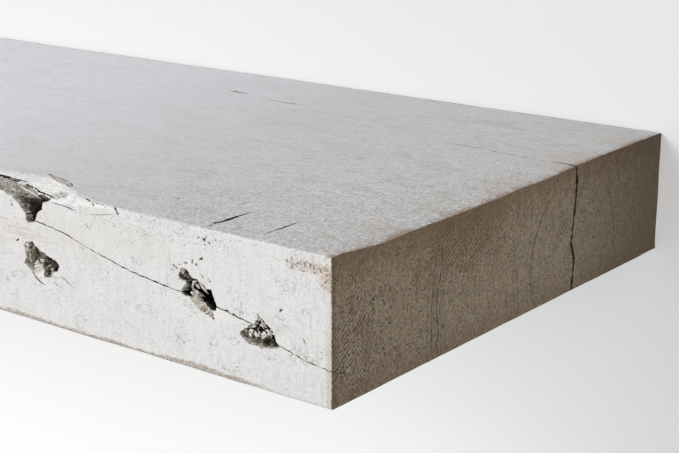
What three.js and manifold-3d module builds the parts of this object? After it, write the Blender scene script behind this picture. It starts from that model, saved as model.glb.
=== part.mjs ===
// A floating wall shelf: one thick whitewashed timber that slides onto four steel rods.
// The rods stand on a flat steel bar, and six lag screws hold the bar to the studs in the wall.
// Millimetres. The origin is the middle of the bar's back face, which lies on the wall.
// +X runs along the shelf to the end with the wide split, -Y comes out of the wall and +Z is up.

import * as THREE from "three";
import { mergeVertices } from "three/addons/utils/BufferGeometryUtils.js";
import Module from "manifold-3d";

const wasm = await Module();
wasm.setup();

// Fits that the whole shelf shares
const runningGap = 0.4;
const threadGap = 0.3;
const cutOverrun = 3;

// The lag screw and washer at each slot
const screwDiameter = 7.9;
const screwThreadDepth = 1;
const screwShankLength = 24;
const screwLength = 76.2;
const screwPointLength = 9;
const screwHeadAcross = 12.7;
const screwHeadHeight = 5.4;
const screwHeadChamferAngle = THREE.MathUtils.degToRad(30);
const washerLip = 1.65;
const washerThickness = 1.6;
const washerBoreGap = 0.35;
const washerSpacing = 4.4;

// The flat bar. Its slots are set out to the spacing of the wall's studs.
const studSpacing = 406.4;
const slotGap = 0.4;
const slotTravel = 12;
const barThickness = 6.35;
const barPastSlot = 9.65;
const barPastWasher = 0.85;
const barCornerRadius = 4;

// The rods, which the timber slides onto
const rodDiameter = 15.875;
const rodNose = 2.5;
const rodHoleSpare = 6;
const drillPointAngle = THREE.MathUtils.degToRad(118);

// The countersunk bolt that clamps each rod against the bar
const boltDiameter = 8;
const boltLength = 25;
const boltBoreSpare = 3;
const barUnderBoltHead = 2.05;
const boltHeadAngle = THREE.MathUtils.degToRad(90);
const boltSocketAcross = 5;
const boltSocketDepth = 3;

// The timber: one plank sawn through the heart of the log
const timberDepth = 279.4;
const timberHeight = 63.5;
const timberPastBar = 30.8;
const timberPastRod = 69.85;
const endEase = 1.1;
const arrisRadius = 1.8;
const recessSideGap = 6;
const recessEdgeGap = 3;
const recessCornerRadius = 6.35;
const headToTimberGap = 2.2;

// How finely the round forms are faceted
const roundSides = 32;
const screwSides = 20;
const hexSides = 6;
const cornerSteps = 6;
const arrisSteps = 2;

// Sizes and places that follow from the ones above
const slotWidth = screwDiameter + 2 * slotGap;
const washerDiameter = screwHeadAcross + 2 * washerLip;
const screwRowSpacing = washerDiameter + washerSpacing;
const screwColumns = [-studSpacing, 0, studSpacing];
const screwRows = [-screwRowSpacing / 2, screwRowSpacing / 2];
const barHeight = screwRowSpacing + washerDiameter + 2 * barPastWasher;
const barLength = 2 * studSpacing + slotTravel + slotWidth + 2 * barPastSlot;
const rodColumnShares = [-0.75, -0.25, 0.25, 0.75];
const rodColumns = rodColumnShares.map((share) => share * studSpacing);
const rodLength = timberDepth - barThickness - timberPastRod;
const rodTipY = -barThickness - rodLength;
const rodHoleRadius = rodDiameter / 2 + runningGap;
const boltHoleRadius = boltDiameter / 2 + runningGap;
const boltHeadDepth = barThickness - runningGap - barUnderBoltHead;
const boltHeadRadius = boltDiameter / 2 + boltHeadDepth * Math.tan(boltHeadAngle / 2);
const recessDepth = barThickness + washerThickness + screwHeadHeight + headToTimberGap;
const timberLength = barLength + 2 * timberPastBar;
const frontY = -timberDepth;
const bottomZ = -timberHeight / 2;
const rightX = timberLength / 2;

const finishes = {
  timber: { color: 0xdcdad5, roughness: 0.85, metalness: 0 },
  bar: { color: 0x2b2c2e, roughness: 0.55, metalness: 0.6 },
  rod: { color: 0x8b8d90, roughness: 0.35, metalness: 1 },
  zinc: { color: 0xb9bcc0, roughness: 0.3, metalness: 1 },
};

// Frames on the timber's faces, with their origins at the right front arris or the left one.
// The first axis runs along the face, the second across it and the third out of it.
const alongX = new THREE.Vector3(1, 0, 0);
const alongY = new THREE.Vector3(0, 1, 0);
const alongZ = new THREE.Vector3(0, 0, 1);
const outOfWall = alongY.clone().negate();
const towardsLeft = alongX.clone().negate();
const frontFace = new THREE.Matrix4()
  .makeBasis(alongX, alongZ, outOfWall)
  .setPosition(rightX, frontY, bottomZ);
const topFace = new THREE.Matrix4()
  .makeBasis(alongX, alongY, alongZ)
  .setPosition(rightX, frontY, -bottomZ);
const rightEnd = new THREE.Matrix4()
  .makeBasis(alongY, alongZ, alongX)
  .setPosition(rightX, frontY, bottomZ);
const leftEnd = new THREE.Matrix4()
  .makeBasis(outOfWall, alongZ, towardsLeft)
  .setPosition(-rightX, frontY, bottomZ);
const wallPlane = new THREE.Matrix4().makeBasis(alongX, alongZ, outOfWall);
const crossSection = new THREE.Matrix4().makeBasis(alongY, alongZ, alongX);

function solidOf(geometry) {
  const bare = geometry.clone();
  bare.deleteAttribute("normal");
  bare.deleteAttribute("uv");
  const merged = mergeVertices(bare);
  const mesh = new wasm.Mesh({
    numProp: 3,
    vertProperties: new Float32Array(merged.attributes.position.array),
    triVerts: new Uint32Array(merged.index.array),
  });
  return new wasm.Manifold(mesh);
}

function geometryOf(solid) {
  const mesh = solid.getMesh();
  const geometry = new THREE.BufferGeometry();
  geometry.setAttribute("position", new THREE.BufferAttribute(mesh.vertProperties, 3));
  geometry.setIndex(new THREE.BufferAttribute(mesh.triVerts, 1));
  geometry.computeVertexNormals();
  return geometry;
}

function cut(geometry, cutters) {
  const whole = solidOf(geometry);
  return geometryOf(cutters.reduce((rest, cutter) => rest.subtract(solidOf(cutter)), whole));
}

// Joins rings of points into one closed skin.
// Seen from the side that the rings advance towards, each ring runs anticlockwise.
function loft(rings) {
  const count = rings[0].length;
  const middles = [rings[0], rings.at(-1)].map((ring) =>
    ring.reduce((sum, point) => sum.add(point), new THREE.Vector3()).divideScalar(count),
  );
  const firstMiddle = rings.length * count;
  const lastMiddle = firstMiddle + 1;
  const lastRing = firstMiddle - count;
  const index = [];
  for (let i = 0; i < count; i++) {
    const next = (i + 1) % count;
    index.push(firstMiddle, next, i);
    index.push(lastMiddle, lastRing + i, lastRing + next);
    for (let here = 0; here < lastRing; here += count) {
      const above = here + count;
      index.push(here + i, here + next, above + next);
      index.push(here + i, above + next, above + i);
    }
  }
  const geometry = new THREE.BufferGeometry().setFromPoints([...rings.flat(), ...middles]);
  geometry.setIndex(index);
  return geometry;
}

// A solid of revolution about Y. The profile runs up the outside, from its lowest Y to its highest.
function turned(profile, sides = roundSides) {
  const points = profile.map(([radius, y]) => new THREE.Vector2(radius, y));
  return new THREE.LatheGeometry(points, sides);
}

function roundedRectangle(width, height, radius) {
  const x = width / 2 - radius;
  const y = height / 2 - radius;
  const outline = new THREE.Shape();
  outline.moveTo(-x, -y - radius);
  outline.lineTo(x, -y - radius);
  outline.absarc(x, -y, radius, -Math.PI / 2, 0);
  outline.absarc(x, y, radius, 0, Math.PI / 2);
  outline.absarc(-x, y, radius, Math.PI / 2, Math.PI);
  outline.absarc(-x, -y, radius, Math.PI, (3 * Math.PI) / 2);
  return outline;
}

// Knots that have torn or rotted out. Each is an uneven funnel that narrows as it goes in and leans
// along the grain. Its mouth is an outline in shares of its half width and half height.
const knotFunnelShares = [
  [1, 0.3],
  [0.72, 0.58],
  [0.3, 0.86],
  [0, 1],
];

function knotHole(face, knot) {
  const ring = (depthShare, sizeShare, lift) =>
    knot.mouthShares.map(
      ([along, across]) =>
        new THREE.Vector3(
          knot.halfWidth * (along * sizeShare + knot.leanShare * depthShare) - knot.fromEnd,
          knot.halfHeight * across * sizeShare + knot.up,
          lift - knot.depth * depthShare,
        ),
    );
  const rings = knotFunnelShares.map(([depthShare, sizeShare]) => ring(depthShare, sizeShare, 0));
  return loft([...rings, ring(0, 1, cutOverrun)]).applyMatrix4(face);
}

// The knot nearest the end: a shallow dish with a crumbling upper lip
const crumbledKnot = {
  fromEnd: 38,
  up: 24,
  halfWidth: 11.5,
  halfHeight: 6.6,
  depth: 9,
  leanShare: 0.2,
  mouthShares: [
    [0.98, -0.4],
    [0.7, 0.1],
    [0.49, 0.75],
    [0, 1],
    [-0.45, 0.45],
    [-0.88, -0.28],
    [-0.62, -0.55],
    [-0.12, -0.86],
    [0.48, -0.8],
  ],
};
// Next to it a deep hole, with a torn lip that runs up to a point
const deepKnot = {
  fromEnd: 70,
  up: 34.5,
  halfWidth: 11,
  halfHeight: 8.6,
  depth: 16,
  leanShare: 0.3,
  mouthShares: [
    [0.9, -0.4],
    [0.74, 0.2],
    [0.5, 0.62],
    [-0.1, 0.7],
    [-0.6, 1],
    [-0.95, 0.98],
    [-0.7, 0.4],
    [-0.95, -0.2],
    [-0.3, -0.7],
    [0.68, -0.95],
  ],
};
// Further along, an oval socket below the torn arris
const ovalKnot = {
  fromEnd: 167,
  up: 29.5,
  halfWidth: 11.8,
  halfHeight: 8,
  depth: 10,
  leanShare: 0.25,
  mouthShares: [
    [0.98, -0.16],
    [0.6, 0.38],
    [-0.2, 0.94],
    [-0.87, 0.92],
    [-1, -0.14],
    [-0.52, -0.88],
    [0.1, -1],
    [0.58, -0.74],
  ],
};
// The knot that broke through the arris and left a wedge-shaped tear
const tornKnot = {
  fromEnd: 174,
  up: 55.5,
  halfWidth: 18,
  halfHeight: 8,
  depth: 15,
  leanShare: 0.3,
  mouthShares: [
    [0.95, 0.55],
    [0.6, 1],
    [-0.98, 1],
    [-1, 0.3],
    [-0.55, 0.05],
    [-0.2, -0.45],
    [-0.02, -1],
    [0.2, -0.85],
    [0.5, -0.1],
  ],
};
// The rest of the front face, with knots of the same kinds
const knots = [
  crumbledKnot,
  deepKnot,
  ovalKnot,
  tornKnot,
  { ...ovalKnot, fromEnd: 338, up: 41, halfWidth: 9, halfHeight: 7.5 },
  { ...crumbledKnot, fromEnd: 471, up: 20, halfWidth: 13, halfHeight: 7 },
  { ...deepKnot, fromEnd: 634, up: 38, halfWidth: 12, halfHeight: 8 },
  { ...ovalKnot, fromEnd: 792, up: 25, halfWidth: 10.5, halfHeight: 7 },
];

// Splits and saw nicks are V grooves along a path, which narrow to a share of their size at their ends.
function groove(face, { path, width, depth, endShare }) {
  const rings = path.map(([along, across], i) => {
    const before = path[Math.max(i - 1, 0)];
    const after = path[Math.min(i + 1, path.length - 1)];
    const way = new THREE.Vector2(after[0] - before[0], after[1] - before[1]).normalize();
    const sizeShare = before === path[i] || after === path[i] ? endShare : 1;
    const halfWidth = (width * sizeShare) / 2;
    const reach = halfWidth * (1 + cutOverrun / (depth * sizeShare));
    const point = (side, out) =>
      new THREE.Vector3(along - way.y * side * reach, across + way.x * side * reach, out);
    return [point(0, -depth * sizeShare), point(1, cutOverrun), point(-1, cutOverrun)];
  });
  return loft(rings).applyMatrix4(face);
}

// The long split runs down along the front, from the torn arris through two knots to the end.
const longSplit = { fromEnd: 0, up: 16, length: 170, rise: 33, width: 0.7, depth: 4, endShare: 0.35 };
longSplit.pathShares = [
  [1, 1],
  [0.89, 0.91],
  [0.78, 0.76],
  [0.65, 0.62],
  [0.54, 0.55],
  [0.47, 0.52],
  [0.35, 0.45],
  [0.24, 0.33],
  [0.16, 0.16],
  [0.09, 0.07],
  [-0.02, -0.01],
];
const middleSplit = { fromEnd: 395, up: 18, length: 215, rise: 18, width: 0.6, depth: 3, endShare: 0.35 };
middleSplit.pathShares = [
  [1, 1],
  [0.77, 0.84],
  [0.58, 0.5],
  [0.4, 0.22],
  [0.16, 0.06],
  [0, 0],
];

function frontGroove(split) {
  const path = split.pathShares.map(([along, up]) => [
    -split.fromEnd - split.length * along,
    split.up + split.rise * up,
  ]);
  return groove(frontFace, { ...split, path });
}

// At each end the heartwood has opened from the bottom face to the top one.
const wideEndSplit = { fromFront: 188.5, wander: 3, width: 1.5, depth: 20, endShare: 1 };
wideEndSplit.pathShares = [
  [0, -0.05],
  [0.3, 0.13],
  [0.5, 0.25],
  [-0.5, 0.39],
  [-0.37, 0.49],
  [0.23, 0.63],
  [0.5, 0.79],
  [0.17, 1.05],
];
const narrowEndSplit = { fromFront: -188, wander: 4, width: 1.1, depth: 14, endShare: 1 };
narrowEndSplit.pathShares = [
  [0.2, -0.05],
  [-0.25, 0.22],
  [0.5, 0.47],
  [-0.5, 0.72],
  [0, 1.05],
];

function endGroove(face, split) {
  const path = split.pathShares.map(([aside, up]) => [
    split.fromFront + split.wander * aside,
    timberHeight * up,
  ]);
  return groove(face, { ...split, path });
}

// Two short saw nicks cross the top close to the front arris.
const sawNicks = [
  { fromEnd: 67.5, fromFront: 2, length: 29, width: 1.3, depth: 2.4, endShare: 0.3 },
  { fromEnd: 41.5, fromFront: 7, length: 22, width: 1, depth: 1.8, endShare: 0.3 },
];
const nickPathShares = [0, 0.4, 1];

function nickGroove(nick) {
  const path = nickPathShares.map((share) => [-nick.fromEnd, nick.fromFront + nick.length * share]);
  return groove(topFace, { ...nick, path });
}

// The wane: where the log's rounded side crosses the front top arris, the wood has broken away.
// Each station holds shares of the wane's length, of its reach over the top and of its drop.
const waneFromEnd = 128;
const waneLength = 190;
const waneReach = 20;
const waneDrop = 6;
const waneStationShares = [
  [1, -0.1, -0.3],
  [0.86, 0.25, 0.35],
  [0.66, 0.55, 0.8],
  [0.46, 0.85, 1],
  [0.34, 0.95, 0.8],
  [0.22, 1, 0.7],
  [0.12, 0.4, 0.5],
  [0, -0.1, -0.3],
];
const waneSectionShares = [
  [1, 0],
  [0.75, 0.28],
  [0.4, 0.36],
  [0, 1],
];

function wane() {
  const rings = waneStationShares.map(([alongShare, reachShare, dropShare]) => {
    const x = -waneFromEnd - waneLength * alongShare;
    const reach = waneReach * reachShare;
    const drop = waneDrop * dropShare;
    const broken = waneSectionShares.map(
      ([down, back]) => new THREE.Vector3(x, timberHeight - drop * down, -reach * back),
    );
    return [
      new THREE.Vector3(x, timberHeight - drop, cutOverrun),
      ...broken,
      new THREE.Vector3(x, timberHeight + cutOverrun, -reach),
      new THREE.Vector3(x, timberHeight + cutOverrun, cutOverrun),
    ];
  });
  return loft(rings).applyMatrix4(frontFace);
}

// The pocket routed in the back takes the whole bar and the screw heads, so the timber meets the wall.
function barRecess() {
  const outline = roundedRectangle(
    barLength + 2 * recessSideGap,
    barHeight + 2 * recessEdgeGap,
    recessCornerRadius,
  );
  const pocket = new THREE.ExtrudeGeometry(outline, {
    depth: recessDepth + cutOverrun,
    bevelEnabled: false,
    curveSegments: cornerSteps,
  });
  return pocket.translate(0, 0, -cutOverrun).applyMatrix4(wallPlane);
}

function rodHole(x) {
  const endY = rodTipY - rodHoleSpare;
  const pointY = endY - rodHoleRadius / Math.tan(drillPointAngle / 2);
  const mouthY = cutOverrun - recessDepth;
  const hole = turned([
    [0, pointY],
    [rodHoleRadius, endY],
    [rodHoleRadius, mouthY],
    [0, mouthY],
  ]);
  return hole.translate(x, 0, 0);
}

function shelfBoard() {
  const section = roundedRectangle(
    timberDepth - 2 * endEase,
    timberHeight - 2 * endEase,
    arrisRadius - endEase,
  );
  const plank = new THREE.ExtrudeGeometry(section, {
    depth: timberLength - 2 * endEase,
    bevelThickness: endEase,
    bevelSize: endEase,
    bevelSegments: arrisSteps,
    curveSegments: arrisSteps,
  });
  plank.translate(0, 0, endEase - timberLength / 2).applyMatrix4(crossSection);
  plank.translate(0, frontY / 2, 0);
  return cut(plank, [
    barRecess(),
    ...rodColumns.map(rodHole),
    ...knots.map((knot) => knotHole(frontFace, knot)),
    frontGroove(longSplit),
    frontGroove(middleSplit),
    endGroove(rightEnd, wideEndSplit),
    endGroove(leftEnd, narrowEndSplit),
    ...sawNicks.map(nickGroove),
    wane(),
  ]);
}

// The steel bracket

function slot(x, z) {
  const path = new THREE.Path();
  const halfTravel = slotTravel / 2;
  path.absarc(x + halfTravel, z, slotWidth / 2, -Math.PI / 2, Math.PI / 2);
  path.absarc(x - halfTravel, z, slotWidth / 2, Math.PI / 2, (3 * Math.PI) / 2);
  return path;
}

// Its cone opens at the bar's back face, and the bolt's head lies just below that face.
function countersunkHole(x) {
  const spread = Math.tan(boltHeadAngle / 2);
  const coneDepth = boltHeadDepth;
  const hole = turned([
    [0, -barThickness - cutOverrun],
    [boltHoleRadius, -barThickness - cutOverrun],
    [boltHoleRadius, -coneDepth],
    [boltHoleRadius + (coneDepth + cutOverrun) * spread, cutOverrun],
    [0, cutOverrun],
  ]);
  return hole.translate(x, 0, 0);
}

function wallBar() {
  const outline = roundedRectangle(barLength, barHeight, barCornerRadius);
  outline.holes = screwColumns.flatMap((x) => screwRows.map((z) => slot(x, z)));
  const blank = new THREE.ExtrudeGeometry(outline, {
    depth: barThickness,
    bevelEnabled: false,
    curveSegments: cornerSteps,
  });
  return cut(blank.applyMatrix4(wallPlane), rodColumns.map(countersunkHole));
}

// A rod stands on the bar's front face. Its root is bored for the bolt and its nose is chamfered.
function rod() {
  const radius = rodDiameter / 2;
  const boreRadius = boltDiameter / 2 + threadGap;
  const boreEndY = -boltLength - boltBoreSpare;
  return turned([
    [0, rodTipY],
    [radius - rodNose, rodTipY],
    [radius, rodTipY + rodNose],
    [radius, -barThickness],
    [boreRadius, -barThickness],
    [boreRadius, boreEndY],
    [0, boreEndY],
  ]);
}

function hexagonPrism(across, length) {
  const radius = across / 2 / Math.cos(Math.PI / hexSides);
  return new THREE.CylinderGeometry(radius, radius, length, hexSides);
}

// The bolt's head lies just below the bar's back face, with a hexagon socket to turn it.
function rodBolt() {
  const radius = boltDiameter / 2;
  const faceY = -runningGap;
  const blank = turned([
    [0, -boltLength],
    [radius - threadGap, -boltLength],
    [radius, -boltLength + threadGap],
    [radius, faceY - boltHeadDepth],
    [boltHeadRadius, faceY],
    [0, faceY],
  ]);
  const socketLength = boltSocketDepth + cutOverrun;
  const socket = hexagonPrism(boltSocketAcross, socketLength);
  return cut(blank, [socket.translate(0, faceY - boltSocketDepth + socketLength / 2, 0)]);
}

function wallWasher() {
  const bore = screwDiameter / 2 + washerBoreGap;
  const rim = washerDiameter / 2;
  const back = -barThickness;
  const front = back - washerThickness;
  return turned([
    [bore, front],
    [rim, front],
    [rim, back],
    [bore, back],
    [bore, front],
  ]);
}

// The lag screw points into the wall. Its hexagon head has turned-off corners.
function wallScrew() {
  const seatY = -barThickness - washerThickness;
  const headY = seatY - screwHeadHeight;
  const tipY = seatY + screwLength;
  const threadY = seatY + screwShankLength;
  const radius = screwDiameter / 2;
  const rootRadius = radius - screwThreadDepth;
  const headMiddleY = (headY + seatY) / 2;
  const shank = turned(
    [
      [0, headMiddleY],
      [radius, headMiddleY],
      [radius, threadY],
      [rootRadius, threadY + screwThreadDepth],
      [rootRadius, tipY - screwPointLength],
      [0, tipY],
    ],
    screwSides,
  );
  const flatRadius = screwHeadAcross / 2;
  const cornerRadius = flatRadius / Math.cos(Math.PI / hexSides);
  const crown = turned([
    [0, headY],
    [flatRadius, headY],
    [cornerRadius, headY + (cornerRadius - flatRadius) * Math.tan(screwHeadChamferAngle)],
    [cornerRadius, seatY + cutOverrun],
    [0, seatY + cutOverrun],
  ]);
  const hexagon = hexagonPrism(screwHeadAcross, screwHeadHeight).translate(0, headMiddleY, 0);
  const head = solidOf(hexagon).intersect(solidOf(crown));
  return geometryOf(head.add(solidOf(shank)));
}

// Assembly

const shelf = new THREE.Group();

function place(name, geometry, finish, x = 0, z = 0) {
  const mesh = new THREE.Mesh(geometry, new THREE.MeshStandardMaterial(finish));
  mesh.name = name;
  mesh.position.set(x, 0, z);
  shelf.add(mesh);
}

place("shelf_board", shelfBoard(), finishes.timber);
place("wall_bar", wallBar(), finishes.bar);

const rodGeometry = rod();
const boltGeometry = rodBolt();
rodColumns.forEach((x, i) => {
  place(`rod_${i + 1}`, rodGeometry, finishes.rod, x);
  place(`rod_bolt_${i + 1}`, boltGeometry, finishes.zinc, x);
});

const screwGeometry = wallScrew();
const washerGeometry = wallWasher();
const screwPlaces = screwColumns.flatMap((x) => screwRows.map((z) => [x, z]));
screwPlaces.forEach(([x, z], i) => {
  place(`wall_screw_${i + 1}`, screwGeometry, finishes.zinc, x, z);
  place(`wall_washer_${i + 1}`, washerGeometry, finishes.zinc, x, z);
});

export default shelf;
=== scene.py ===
"""A floating wall shelf: a whitewashed timber on the rods of a steel wall bar. Metres, as in the frame."""

import math

import bmesh
import bpy
import numpy as np
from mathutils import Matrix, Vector


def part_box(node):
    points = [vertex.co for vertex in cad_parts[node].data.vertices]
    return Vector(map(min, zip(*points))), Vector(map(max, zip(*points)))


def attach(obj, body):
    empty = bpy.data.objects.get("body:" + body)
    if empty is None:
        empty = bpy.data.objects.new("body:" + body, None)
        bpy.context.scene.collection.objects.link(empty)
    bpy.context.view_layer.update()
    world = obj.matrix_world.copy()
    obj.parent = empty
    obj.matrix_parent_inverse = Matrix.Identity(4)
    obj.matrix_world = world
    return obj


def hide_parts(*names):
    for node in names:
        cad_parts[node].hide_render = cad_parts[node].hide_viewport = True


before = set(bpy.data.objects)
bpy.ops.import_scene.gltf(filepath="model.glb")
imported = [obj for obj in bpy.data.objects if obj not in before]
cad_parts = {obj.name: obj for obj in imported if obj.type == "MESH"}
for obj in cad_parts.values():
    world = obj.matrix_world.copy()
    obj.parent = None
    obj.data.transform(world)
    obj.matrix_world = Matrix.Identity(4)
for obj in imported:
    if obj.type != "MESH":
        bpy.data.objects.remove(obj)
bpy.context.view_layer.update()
MM = 0.001

# The camera.
# It stands to the right of the shelf and above it, about 0.6 m from the near corner, and looks back
# along the front. Its place and lens were solved from the straight edges of the timber.
camera_place = (0.79741, -0.71484, 0.20158)
camera_turn = math.radians(37.726)
camera_dip = math.radians(15.933)
camera_lens = 80.546
sensor_width = 36.0

camera = bpy.data.objects.new("camera", bpy.data.cameras.new("camera"))
bpy.context.scene.collection.objects.link(camera)
bpy.context.scene.camera = camera
camera.location = camera_place
camera.rotation_euler = (math.pi / 2 - camera_dip, 0, camera_turn)
camera.data.lens = camera_lens
camera.data.sensor_width = sensor_width
camera.data.sensor_fit = "HORIZONTAL"
camera.data.clip_start = 0.02

# The timber's worn and torn surface.
# One plank of softwood, sawn close to the heart of the log, with loose knots fallen out and the front
# arris broken away. Places on it are in millimetres: along from the right end, back from the front, up.
timber_low, timber_high = (np.array(corner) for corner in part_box("shelf_board"))
timber_length, timber_depth, timber_height = (timber_high - timber_low) / MM
arris_rows = np.array([0, 0.3, 0.7, 1.3, 2.2, 4])
coarse_edge = 9.0
# Painted shade in the hollows: how much darker the wood is drawn for each millimetre of depth.
gloom_depth = 0.028


def lattice_lines(length):
    """Places across one side of the timber: close rows near both arrises, even steps between them."""
    inner = np.linspace(arris_rows[-1], length - arris_rows[-1], max(2, int(length / coarse_edge)))
    return np.concatenate([arris_rows, inner[1:-1], (length - arris_rows)[::-1]])


def box_skin(sides):
    """A closed box as triangles: a grid of points on each of its six sides, welded at the arrises.

    A point on a side is fixed on one axis at zero or at the full size, and free on the other two.
    """
    rows = [lattice_lines(side) for side in sides]
    points, triangles, count = [], [], 0
    for axis in range(3):
        first, second = (axis + 1) % 3, (axis + 2) % 3
        u, v = np.meshgrid(rows[first], rows[second], indexing="ij")
        number = np.arange(u.size).reshape(u.shape)
        a, b, c, d = number[:-1, :-1], number[1:, :-1], number[1:, 1:], number[:-1, 1:]
        halves = np.concatenate([np.stack([a, b, c], -1), np.stack([a, c, d], -1)]).reshape(-1, 3)
        for far in (0, 1):
            side = np.empty((u.size, 3))
            side[:, axis] = sides[axis] * far
            side[:, first], side[:, second] = u.ravel(), v.ravel()
            points.append(side)
            triangles.append((halves if far else halves[:, ::-1]) + count)
            count += len(side)
    points, back = np.unique(np.round(np.concatenate(points), 5), axis=0, return_inverse=True)
    return points, back.reshape(-1)[np.concatenate(triangles)]


def refine(points, triangles, wanted, rounds):
    """Splits every edge longer than the wanted length at its middle, round after round.

    A triangle with one split edge becomes two, with two it becomes three and with three it becomes four.
    """
    for _ in range(rounds):
        ends = np.sort(np.stack([triangles, np.roll(triangles, -1, axis=1)], axis=2), axis=2)
        keys = ends[..., 0] * len(points) + ends[..., 1]
        edges, back = np.unique(keys, return_inverse=True)
        back = back.reshape(-1, 3)
        start, end = edges // len(points), edges % len(points)
        middles = (points[start] + points[end]) / 2
        split = np.linalg.norm(points[start] - points[end], axis=1) > wanted(middles)
        if not split.any():
            break
        number = np.full(len(edges), -1)
        number[split] = len(points) + np.arange(split.sum())
        points = np.concatenate([points, middles[split]])
        marks = number[back]
        count = (marks >= 0).sum(axis=1)
        turn = np.where(count == 1, np.argmax(marks >= 0, axis=1), (np.argmin(marks, axis=1) + 1) % 3)
        order = (turn[:, None] + np.arange(3)) % 3
        triangles = np.take_along_axis(triangles, order, axis=1)
        marks = np.take_along_axis(marks, order, axis=1)
        (a, b, c), (ab, bc, ca) = triangles.T, marks.T
        one, two, three = count == 1, count == 2, count == 3
        pieces = [
            triangles[count == 0],
            np.stack([a, ab, c], 1)[one],
            np.stack([ab, b, c], 1)[one],
            np.stack([ab, b, bc], 1)[two],
            np.stack([a, ab, bc], 1)[two],
            np.stack([a, bc, c], 1)[two],
            np.stack([a, ab, ca], 1)[three],
            np.stack([ab, b, bc], 1)[three],
            np.stack([ca, bc, c], 1)[three],
            np.stack([ab, bc, ca], 1)[three],
        ]
        triangles = np.concatenate(pieces)
    return points, triangles


def ripple(places, size, seed):
    """Smooth noise from -1 to 1: random values at the corners of cells of the given size, eased between."""
    scaled = places / np.asarray(size, float) + 31.7 * seed
    cell = np.floor(scaled).astype(np.int64)
    part = scaled - cell
    part = part * part * (3 - 2 * part)
    total = np.zeros(len(places))
    for corner in np.ndindex((2,) * places.shape[1]):
        key = cell + np.array(corner)
        mixed = np.zeros(len(places), dtype=np.int64)
        for axis, prime in zip(range(places.shape[1]), (73856093, 19349663, 83492791)):
            mixed ^= key[:, axis] * prime
        mixed = (mixed ^ (mixed >> 13)) * 1274126177
        mixed = (mixed ^ (mixed >> 16)) & 0xFFFFFF
        value = mixed / 0x7FFFFF - 1
        total += value * np.prod(np.where(corner, part, 1 - part), axis=1)
    return total


def ease(value, low, high):
    """Rises smoothly from 0 at low to 1 at high."""
    share = np.clip((value - low) / (high - low), 0, 1)
    return share * share * (3 - 2 * share)


def inside(outline, along, up):
    """How far each place lies inside a closed outline, and below zero outside it, in millimetres.

    The distance is to the nearest stretch of the outline, and a crossing count gives the sign.
    """
    place = np.stack([along, up], 1)
    nearest = np.full(len(place), np.inf)
    within = np.zeros(len(place), bool)
    for start, end in zip(outline, np.roll(outline, -1, axis=0)):
        way = end - start
        share = np.clip((place - start) @ way / (way @ way), 0, 1)
        nearest = np.minimum(nearest, np.linalg.norm(place - start - share[:, None] * way, axis=1))
        crosses = (start[1] > up) != (end[1] > up)
        rise = end[1] - start[1] or 1.0
        within ^= crosses & (along < start[0] + (up - start[1]) * way[0] / rise)
    return np.where(within, nearest, -nearest)
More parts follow.
